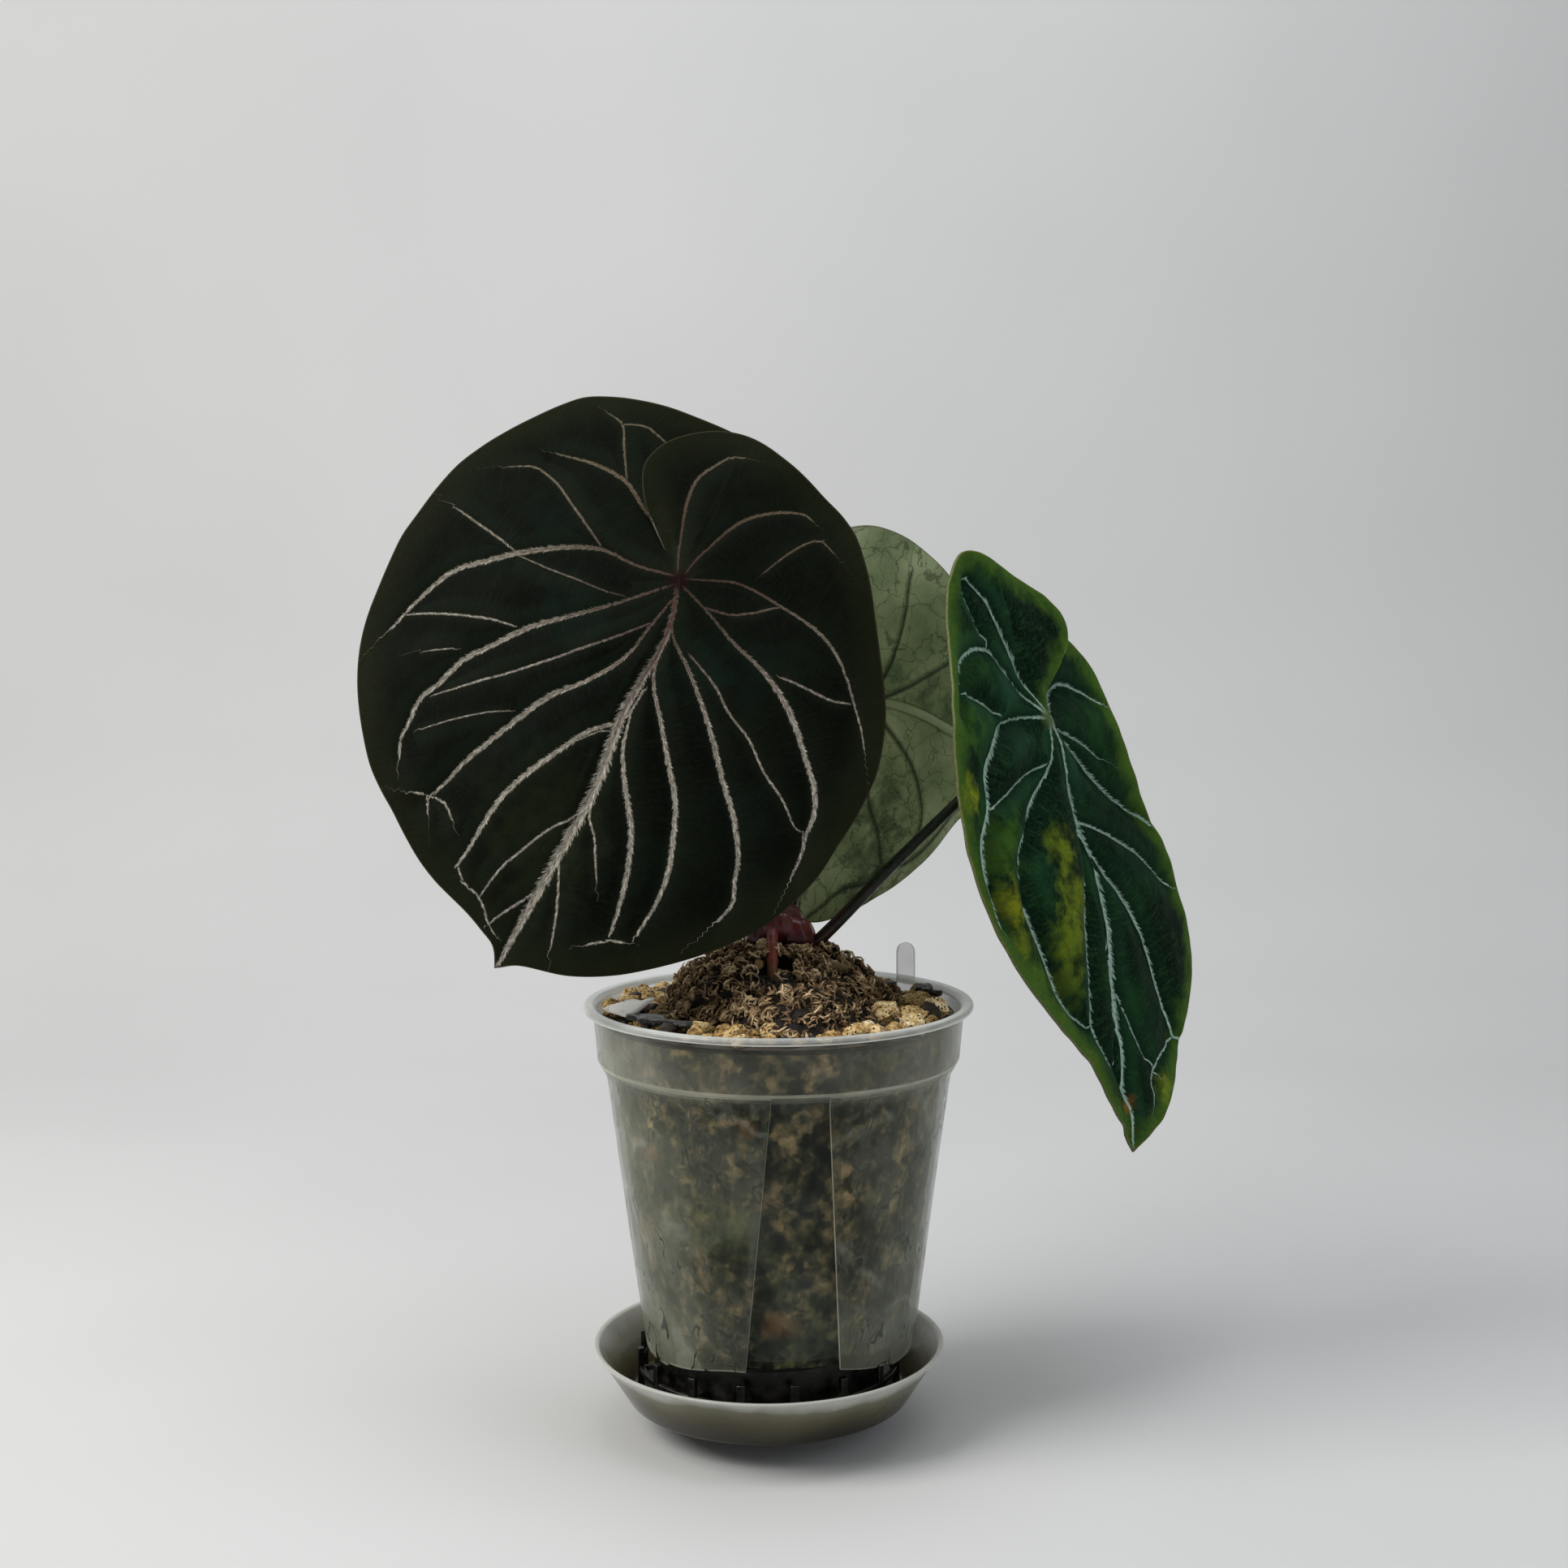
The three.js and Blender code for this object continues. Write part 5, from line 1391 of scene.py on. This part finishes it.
# Writes to each face corner its way along the vein nearest to the face, its distance across and the width
def addVeinPlaces(mesh, flat, pieces):
    corner = readValues(mesh.loops, "vertex_index", int)
    totals = readValues(mesh.polygons, "loop_total", int)
    half = readValues(mesh.attributes["half"].data, "value")
    owner = np.repeat(np.arange(len(totals)), totals)
    centres = np.stack([np.bincount(owner, axis[corner]) / totals for axis in flat.T], axis=1)
    first = np.bincount(owner, half[corner]) / totals < 0.5
    nearest = np.zeros(len(totals), int)
    for side, wanted in ((first, -1), (~first, 1)):
        allowed = np.flatnonzero((pieces["half"] == 0) | (pieces["half"] == wanted))
        starts, ends, widths = (pieces[key][allowed] for key in ("start", "end", "width"))
        _, found = nearestPiece(centres[side], starts, ends, widths.sum(axis=1) / 4)
        nearest[side] = allowed[found]
    start, end, ways, widths = (pieces[key][nearest[owner]] for key in ("start", "end", "along", "width"))
    here = flat[corner] - start
    step = end - start
    along = (here * step).sum(axis=1) / (step**2).sum(axis=1)
    held = np.clip(along, 0, 1)
    away = here - held[:, None] * step
    side = np.sign(step[:, 0] * away[:, 1] - step[:, 1] * away[:, 0])
    across = np.hypot(*away.T) * np.where(side == 0, 1, side)
    travelled = ways[:, 0] + (ways[:, 1] - ways[:, 0]) * along
    width = widths[:, 0] + (widths[:, 1] - widths[:, 0]) * held
    vein = mesh.attributes.new("vein", "FLOAT_VECTOR", "CORNER")
    vein.data.foreach_set("vector", np.stack([travelled, across, width], axis=1).ravel())


# Turns a flat plan to the way its joint faces, and puts it there
def turnToJoint(mesh, spots, joint):
    zAxis = unit(np.array(joint["face"]))
    yAxis = -np.array(joint["tip"])
    yAxis = unit(yAxis - (yAxis @ zAxis) * zAxis)
    axes = np.stack([np.cross(yAxis, zAxis), yAxis, zAxis])
    mesh.vertices.foreach_set("co", ((spots @ axes + np.array(joint["at"])) * 0.001).ravel())
    mesh.update()


def buildBlade(name, materials):
    leaf = leaves[name]
    pieces = veinPieces(leaf)
    mesh = bladeMesh(name + "Blade", leaf, pieces)
    spots = readValues(mesh.vertices, "co", width=3).reshape(-1, 3)
    addVeinPlaces(mesh, spots[:, :2], pieces)
    turnToJoint(mesh, spots, joints[name])
    piece = linkPiece(name + "Blade", mesh, materials, [name + "_leaf"], 60)
    addShell(piece, 0.9, other=1, edge=2)


# Soft patches of colour as x, y, reach, strength and colour
def addSpots(made, flat, soft, ground, spots):
    for x, y, reach, strength, code in spots:
        gap = made.distance(flat, (x, y, 0))
        gap = made.plus(gap, made.between(soft, 0.3, 0.7, reach * 0.38, -reach * 0.38))
        ground = made.tint(ground, code, gap, reach * 1.1, 0.0, strength)
    return ground


# What both faces of a blade read: places on the flat plan and along the nearest vein
def leafPlaces(made):
    x, y, edge = made.split(made.attribute("leafPlace"))
    along, across, width = made.split(made.attribute("vein"))
    flat = made.join(x, y)
    return {
        "x": x, "y": y, "edge": edge, "along": along, "across": across, "width": width, "flat": flat,
        "away": made.math("ABSOLUTE", across), "half": made.times(width, 0.5),
        "blotch": made.noise(flat, 0.16, 5.0, 0.6),
    }


# The velvet ground: patches, painted light and shade on the bulges beside the veins, lit from the left, the
# margin, flecks, and a tint beside the veins: painted sheen on the front blade, painted shade on the right
# one
def upperGround(made, look, at, fine, strokes):
    soft = made.noise(at["flat"], look["patch"], 4.0, 0.55)
    ground = addSpots(made, at["flat"], at["blotch"], made.ramp(soft, *look["ground"]), look["spots"])
    bulge = made.times(at["across"], made.between(at["x"], -2.0, 2.0, -1.0, 1.0))
    lit = made.times(made.between(bulge, -0.5, 2.8), made.between(bulge, 7.5, 3.2))
    lit = made.times(lit, made.between(at["x"], 20.0, -10.0, look["litMix"] * 0.35, look["litMix"]))
    ground = made.mix(lit, ground, look["lit"])
    # The other side of each bulge is darkened: painted shade
    bulgeShade = made.between(bulge, 0.0, -2.5, 0.0, look["litMix"])
    ground = made.mix(made.times(bulgeShade, made.between(bulge, -7.5, -3.0)), ground, look["shade"])
    rough = made.times(made.minus(at["blotch"], 0.5), look["marginRough"] * 3)
    rough = made.plus(at["edge"], rough)
    ground = made.tint(ground, look["margin"], rough, look["marginWide"], 0.0, look["marginMix"])
    ground = made.tint(ground, look["fleckColour"], fine, 0.42, 0.7, look["fleck"])
    ground = made.tint(ground, look["fleckColour"], strokes, 0.5, 0.72, look["stroke"])
    # A tint beside the veins: lighter on the front blade as painted sheen, darker on the right blade as
    # painted shade where it sinks into its veins
    return made.tint(ground, look["veinSheenShadeColour"], at["away"], look["veinSheenShadeReach"], 0.0, look["veinSheenShadeMix"])


# Where the veins are, with frayed sides
def veinMask(made, look, at):
    slant = made.minus(made.times(at["along"], look["teeth"]), made.times(at["away"], 2.6))
    frayed = made.noise(made.join(slant, made.times(at["across"], 0.35)), 1.0, 3.0, 0.75)
    reach = made.times(made.minus(frayed, 0.48), look["fray"])
    reach = made.times(reach, made.math("MINIMUM", at["width"], 3.6))
    reach = made.plus(at["half"], reach)
    return made.between(made.minus(at["away"], reach), 0.22, -0.24)


# The veins' colour: brushed along, dimmer up in the lobes and round the joint, with a dark core there
def veinColour(made, look, at, fromJoint):
    brush = made.minus(made.times(at["along"], 0.5), made.times(at["away"], 1.2))
    tone = made.noise(made.join(brush, made.times(at["across"], 1.6)), 1.2, 4.0, 0.6)
    shade = made.ramp(tone, *look["vein"])
    shade = made.tint(shade, look["highColour"], at["y"], -35.0, 30.0, look["highDim"])
    shade = made.tint(shade, look["dimColour"], fromJoint, look["dimReach"], 3.0, look["dim"])
    core = made.between(made.math("DIVIDE", at["away"], at["half"]), 0.6, 0.15)
    core = made.times(core, made.between(fromJoint, look["basal"], 4.0, 0.0, 0.9))
    return made.mix(core, shade, look["core"])


# The upper face: velvet green, pale feathered veins, a thin coloured margin
def upperLook(name, look):
    made = Look(name)
    at = leafPlaces(made)
    fine = made.noise(at["flat"], 0.9, 4.0, 0.6)
    lengthwise = made.join(made.times(at["along"], 0.9), made.times(at["across"], 0.16))
    strokes = made.noise(lengthwise, 1.0, 3.0)
    fromJoint = made.distance(at["flat"], (0, 0, 0))
    mask = veinMask(made, look, at)
    ground = upperGround(made, look, at, fine, strokes)
    whole = made.mix(mask, ground, veinColour(made, look, at, fromJoint))
    whole = made.tint(whole, look["joint"], fromJoint, 5.0, 1.2, 0.9)
    whole = made.tint(whole, look["line"], at["edge"], 0.6, 0.2, look["lineMix"])
    height = made.plus(made.times(fine, look["weave"]), made.times(mask, 0.4))
    height = made.plus(height, made.times(strokes, look["weave"] * 1.5))
    return made.set(
        Base_Color=whole,
        Roughness=made.between(fine, 0.3, 0.7, look["rough"] - 0.06, look["rough"] + 0.1),
        Specular_IOR_Level=look["shine"],
        Sheen_Weight=look["sheen"],
        Sheen_Roughness=0.4,
        Sheen_Tint=colour(look["sheenTint"]),
        Normal=made.bump(height, 0.5, 0.0005),
    ).material


# The underside: paler, with a fine dark net and raised main veins
def underLook(name, look):
    made = Look(name)
    at = leafPlaces(made)
    sway = made.noise(at["flat"], 0.07, 3.0)
    shiver = made.noise(at["flat"], 0.45, 3.0)
    shiftX = made.plus(made.times(sway, 20.0), made.times(shiver, 3.5))
    shiftY = made.minus(made.times(shiver, 4.0), made.times(sway, 12.0))
    bent = made.join(made.plus(at["x"], shiftX), made.plus(at["y"], shiftY))
    net = made.cells(bent, look["net"], feature="DISTANCE_TO_EDGE")
    inner = made.cells(bent, look["net"] * 2.7, feature="DISTANCE_TO_EDGE")
    fine = made.noise(at["flat"], 1.2, 4.0)
    ground = made.ramp(made.noise(at["flat"], 0.05, 4.0), *look["ground"])
    ground = addSpots(made, at["flat"], at["blotch"], ground, look["spots"])
    ground = made.tint(ground, look["netColour"], inner, 0.05, 0.0, 0.18)
    ground = made.tint(ground, look["netColour"], net, 0.035, 0.0, 0.65)
    ground = made.tint(ground, look["fleckColour"], fine, 0.4, 0.75, 0.25)
    beside = made.minus(at["away"], at["half"])
    ground = made.tint(ground, look["netColour"], beside, 1.1, 0.2, 0.5)
    # Thick veins are pale ridges, their own colour and a painted highlight along the raised midrib; thin
    # ones are drawn dark
    ridge = made.between(beside, 0.3, -0.3)
    ridgeColour = made.tint(look["netColour"], look["ridgeColour"], at["width"], 1.0, 1.5)
    whole = made.mix(made.times(ridge, look["ridge"]), ground, ridgeColour)
    whole = made.tint(whole, look["line"], at["edge"], 0.6, 0.2, 0.7)
    return made.set(
        Base_Color=whole,
        Roughness=made.between(fine, 0.3, 0.7, 0.48, 0.65),
        Specular_IOR_Level=0.12,
        Normal=made.bump(made.plus(ridge, made.between(net, 0.1, 0.0, 0.0, -0.25)), 0.5, 0.0005),
    ).material


def rimOfLeafLook(name, code, dark):
    made = Look(name)
    fine = made.noise(made.place(), 900, 4.0)
    return made.set(Base_Color=made.ramp(fine, (0.3, dark), (0.7, code)), Roughness=0.5).material


frontLook = {
    "patch": 0.035,
    "ground": [(0.3, "040603"), (0.5, "080b06"), (0.7, "0d130b")],
    "fleck": 0.3, "fleckColour": "14180f", "stroke": 0.4,
    # The dark teal patches stand in for the velvet's sheen, as painted sheen; the two olive ones lie towards
    # the tip
    "spots": [
        (-26, -21, 15, 0.55, "0c1d18"), (32, -16, 14, 0.45, "0b1a16"), (46, -56, 14, 0.4, "0c1814"),
        (-44, 2, 14, 0.5, "0c1a14"), (-54, -14, 10, 0.4, "0d1812"), (26, -82, 12, 0.35, "0c1712"),
        (17, -24, 14, 0.5, "0c1e18"), (-22, -62, 14, 0.35, "0b1612"), (-36, 34, 12, 0.3, "0c1610"),
        (-8, -78, 26, 0.6, "181c0c"), (0, -92, 20, 0.5, "1c200e"),
    ],
    "marginWide": 14.0, "marginRough": 2.0, "marginMix": 0.9, "margin": "181b0d",
    "veinSheenShadeReach": 3.5, "veinSheenShadeMix": 0.4, "veinSheenShadeColour": "181c12",
    "teeth": 2.2, "fray": 1.8, "litMix": 0.24, "lit": "1b261c", "shade": "050705",
    "vein": [(0.25, "37352e"), (0.45, "706c62"), (0.6, "a5a093"), (0.75, "cfcbbf")],
    "highDim": 0.8, "highColour": "544d38", "dimReach": 50.0,
    "dim": 0.85, "dimColour": "3b3029",
    "basal": 80.0, "core": "4a2824", "joint": "1a0b0b",
    "lineMix": 0.5, "line": "3a382a",
    "weave": 0.5, "rough": 0.6, "shine": 0.025, "sheen": 0.0, "sheenTint": "5f7a66",
}
rightLook = {
    "patch": 0.04,
    "ground": [(0.3, "051109"), (0.5, "0a2012"), (0.7, "173a1a")],
    "fleck": 0.4, "fleckColour": "2a4a2b", "stroke": 0.5,
    # The near-black and dark teal patches by the cut between the lobes and over the right half are painted
    # shade, where the blade turns from the light; the yellow and yellow-green ones are mottling, and the
    # last two a brown spot near the tip
    "spots": [
        (15, 21, 20, 0.95, "030a06"), (2, 36, 14, 0.8, "050f0a"), (-18, 38, 12, 0.4, "0b2419"),
        (46, -81, 26, 0.95, "030b07"), (32, -40, 22, 0.8, "04100a"), (36, -104, 18, 0.8, "030b07"),
        (21, -105, 13, 0.7, "0a1e18"), (22, -58, 15, 0.55, "0c261f"), (8, -74, 13, 0.5, "0b221b"),
        (6, -20, 12, 0.5, "22483d"), (-19, -5, 13, 0.5, "2a4c38"), (-18, 13, 10, 0.55, "2a5043"),
        (30, 10, 13, 0.5, "10271f"), (-39, 28, 16, 0.5, "365e28"), (-28, -45, 12, 0.4, "20482c"),
        (-38, 2, 12, 0.5, "33602f"), (-44, -30, 14, 0.6, "4a701f"), (-38, -92, 16, 0.6, "4c7022"),
        (-52, 8, 14, 0.6, "4a6e20"), (-48, -72, 14, 0.6, "5a7a1e"), (-30, -112, 12, 0.5, "4f701f"),
        (-14, -39, 9, 0.75, "75851a"), (-14, -54, 12, 0.7, "7d8c1c"), (-22, -66, 13, 0.75, "74861c"),
        (-29, -78, 12, 0.6, "64791c"), (-50, -49, 9, 0.85, "8a931a"), (-50, -60, 8, 0.6, "74821c"),
        (-54, -14, 7, 0.85, "8c961c"), (-52, -33, 9, 0.5, "55701e"), (21, -126, 8, 0.85, "939f24"),
        (57, -41, 9, 0.6, "63781f"), (46, -22, 8, 0.5, "4f7022"), (-26, -104, 9, 0.55, "64771e"),
        (-2, -125, 4.5, 0.95, "ad6a24"), (-2, -131, 3, 0.85, "5a2c14"),
    ],
    "marginWide": 9.0, "marginRough": 5.0, "marginMix": 0.85, "margin": "4a6a20",
    "veinSheenShadeReach": 4.5, "veinSheenShadeMix": 0.45, "veinSheenShadeColour": "0a2318",
    "teeth": 1.1, "fray": 2.2, "litMix": 0.4, "lit": "2c5537", "shade": "05110a",
    "highDim": 0.25, "highColour": "6c8878", "dimReach": 30.0,
    "vein": [(0.25, "5f8270"), (0.45, "8fae9c"), (0.7, "cadcce")],
    "dim": 0.2, "dimColour": "7f9a7a",
    "basal": 25.0, "core": "89a487", "joint": "4a5a34",
    "lineMix": 0.6, "line": "6a6a34",
    "weave": 0.9, "rough": 0.5, "shine": 0.02, "sheen": 0.0, "sheenTint": "8fb096",
}
backLook = {
    "patch": 0.04,
    "ground": [(0.3, "122012"), (0.5, "1a2e1a"), (0.7, "243c22")],
    "fleck": 0.3, "fleckColour": "36502f", "stroke": 0.3,
    "spots": [(20, -10, 15, 0.3, "1a3420"), (-20, -20, 14, 0.4, "2d4a26")],
    "marginWide": 10.0, "marginRough": 2.0, "marginMix": 0.6, "margin": "33441d",
    "veinSheenShadeReach": 3.0, "veinSheenShadeMix": 0.3, "veinSheenShadeColour": "28442e",
    "teeth": 1.2, "fray": 1.6, "litMix": 0.2, "lit": "2c4a30", "shade": "122012",
    "highDim": 0.1, "highColour": "6c7860", "dimReach": 30.0,
    "vein": [(0.25, "6d7c66"), (0.5, "8f9d86"), (0.75, "a9b49e")],
    "dim": 0.4, "dimColour": "5d6a4c",
    "basal": 25.0, "core": "5d4a3c", "joint": "3b3a26",
    "lineMix": 0.6, "line": "5a5a34",
    "weave": 0.6, "rough": 0.45, "shine": 0.35, "sheen": 0.05, "sheenTint": "809a80",
}
underPale = {
    "net": 0.12, "ground": [(0.3, "7b8b64"), (0.5, "9dab7f"), (0.7, "bbc69a")],
    # The first three patches are the painted shadow of the front blade, the next three painted shade in the
    # fold beside the midrib; the last three are paler patches
    "spots": [
        (28, -20, 15, 0.75, "3a4a30"), (46, -26, 17, 0.75, "35452d"), (62, -30, 14, 0.65, "3a4a31"),
        (-11, -4, 8, 0.6, "43543a"), (-11, -18, 8, 0.65, "3f5036"), (-9, -30, 8, 0.55, "43543a"),
        (26, -56, 16, 0.6, "c3ccac"), (50, -60, 14, 0.5, "c3ccac"), (4, -34, 8, 0.5, "b8c49f"),
    ],
    "netColour": "2f3c25", "fleckColour": "a3b28c", "ridge": 0.8, "ridgeColour": "bcc6a0", "line": "5a5a38",
}
underDark = {
    "net": 0.12, "ground": [(0.3, "3a4428"), (0.5, "4a5432"), (0.7, "59643c")], "spots": [],
    "netColour": "2f3722", "fleckColour": "646b44", "ridge": 0.8, "ridgeColour": "74664a", "line": "5a4030",
}
# The front blade's cut edge: its own reddish tan, lightened as a painted highlight of the light caught along
# it
frontEdgeAndHighlight = rimOfLeafLook("frontEdgeWithHighlight", "4c4434", "2a241c")
greenRim = rimOfLeafLook("greenRim", "5d6232", "3c461c")
for name, look, under, rim in [
    ("front", frontLook, underDark, frontEdgeAndHighlight), ("back", backLook, underPale, greenRim),
    ("right", rightLook, underPale, greenRim),
]:
    buildBlade(name, [upperLook(name + "Upper", look), underLook(name + "Under", under), rim])

print("stage: camera, light and floor")


def plainLook(name, code, shade):
    look = Look(name)
    grain = look.noise(look.place(), 3.0, 3.0)
    return look.set(Base_Color=look.ramp(grain, (0.3, shade), (0.7, code)), Roughness=0.85).material


floorShape = {
    "curve": [(-1.6, 0.0), (0.35, 0.0), (0.5, 0.02), (0.6, 0.1), (0.64, 0.25), (0.65, 1.4)],
    "width": 5, "columns": 8, "rows": 40, "gap": 0.0002,
}
curve = splineThrough(floorShape["curve"], floorShape["rows"])


def sweepPlace(column, row):
    across = (column / floorShape["columns"] - 0.5) * floorShape["width"]
    return np.stack([across, curve[row, 0], curve[row, 1] - floorShape["gap"]], axis=1)


bm = bmesh.new()
gridInto(bm, floorShape["columns"], floorShape["rows"], sweepPlace)
bmesh.ops.recalc_face_normals(bm, faces=bm.faces)
mesh = bpy.data.meshes.new("floorSweep")
bm.to_mesh(mesh)
bm.free()
mesh.materials.append(plainLook("paleFloor", "cbcccb", "c4c5c4"))
mesh.shade_smooth()
floor = bpy.data.objects.new("floorSweep", mesh)
bpy.context.scene.collection.objects.link(floor)

scene = bpy.context.scene
# The camera that was fitted to the photo's rim, step and saucer: angles in radians, frame in pixels
view = {"halfFrame": 966, "focal": 2500, "down": 0.0833, "roll": -0.0043, "at": (0.0055, -0.618, 0.2427)}
camera = bpy.data.objects.new("camera", bpy.data.cameras.new("camera"))
scene.collection.objects.link(camera)
camera.data.sensor_fit = "HORIZONTAL"
camera.data.angle = 2 * math.atan(view["halfFrame"] / view["focal"])
camera.data.clip_start = 0.02
turn = Matrix.Rotation(math.pi / 2 - view["down"], 4, "X") @ Matrix.Rotation(view["roll"], 4, "Z")
camera.matrix_world = Matrix.Translation(view["at"]) @ turn
scene.camera = camera


# A lamp in metres and watts, turned to what it aims at
def addLamp(name, at, aim, size, power, tint):
    lamp = bpy.data.lights.new(name, "AREA")
    lamp.shape = "RECTANGLE"
    lamp.size, lamp.size_y = size
    lamp.energy = power
    lamp.color = colour(tint)[:3]
    holder = bpy.data.objects.new(name, lamp)
    scene.collection.objects.link(holder)
    facing = (Vector(aim) - Vector(at)).to_track_quat("-Z", "Y")
    holder.matrix_world = Matrix.Translation(at) @ facing.to_matrix().to_4x4()


lamps = {
    "windowLeft": ((-0.75, -0.35, 0.85), (0, 0, 0.18), (0.6, 0.6), 11, "fffcf8"),
    "skyTop": ((0.15, 0.0, 1.15), (0.02, 0, 0.1), (0.8, 0.8), 5, "f6f8ff"),
    "fillRight": ((0.85, -0.5, 0.5), (0.03, 0, 0.17), (0.5, 0.7), 1.4, "f0f4ff"),
}
for name, settings in lamps.items():
    addLamp(name, *settings)
sky = {"tint": "f4f5f7", "strength": 0.32}
world = bpy.data.worlds.new("softSky")
scene.world = world
world.use_nodes = True
background = world.node_tree.nodes["Background"]
background.inputs["Color"].default_value = colour(sky["tint"])
background.inputs["Strength"].default_value = sky["strength"]
scene.view_settings.view_transform = "Standard"
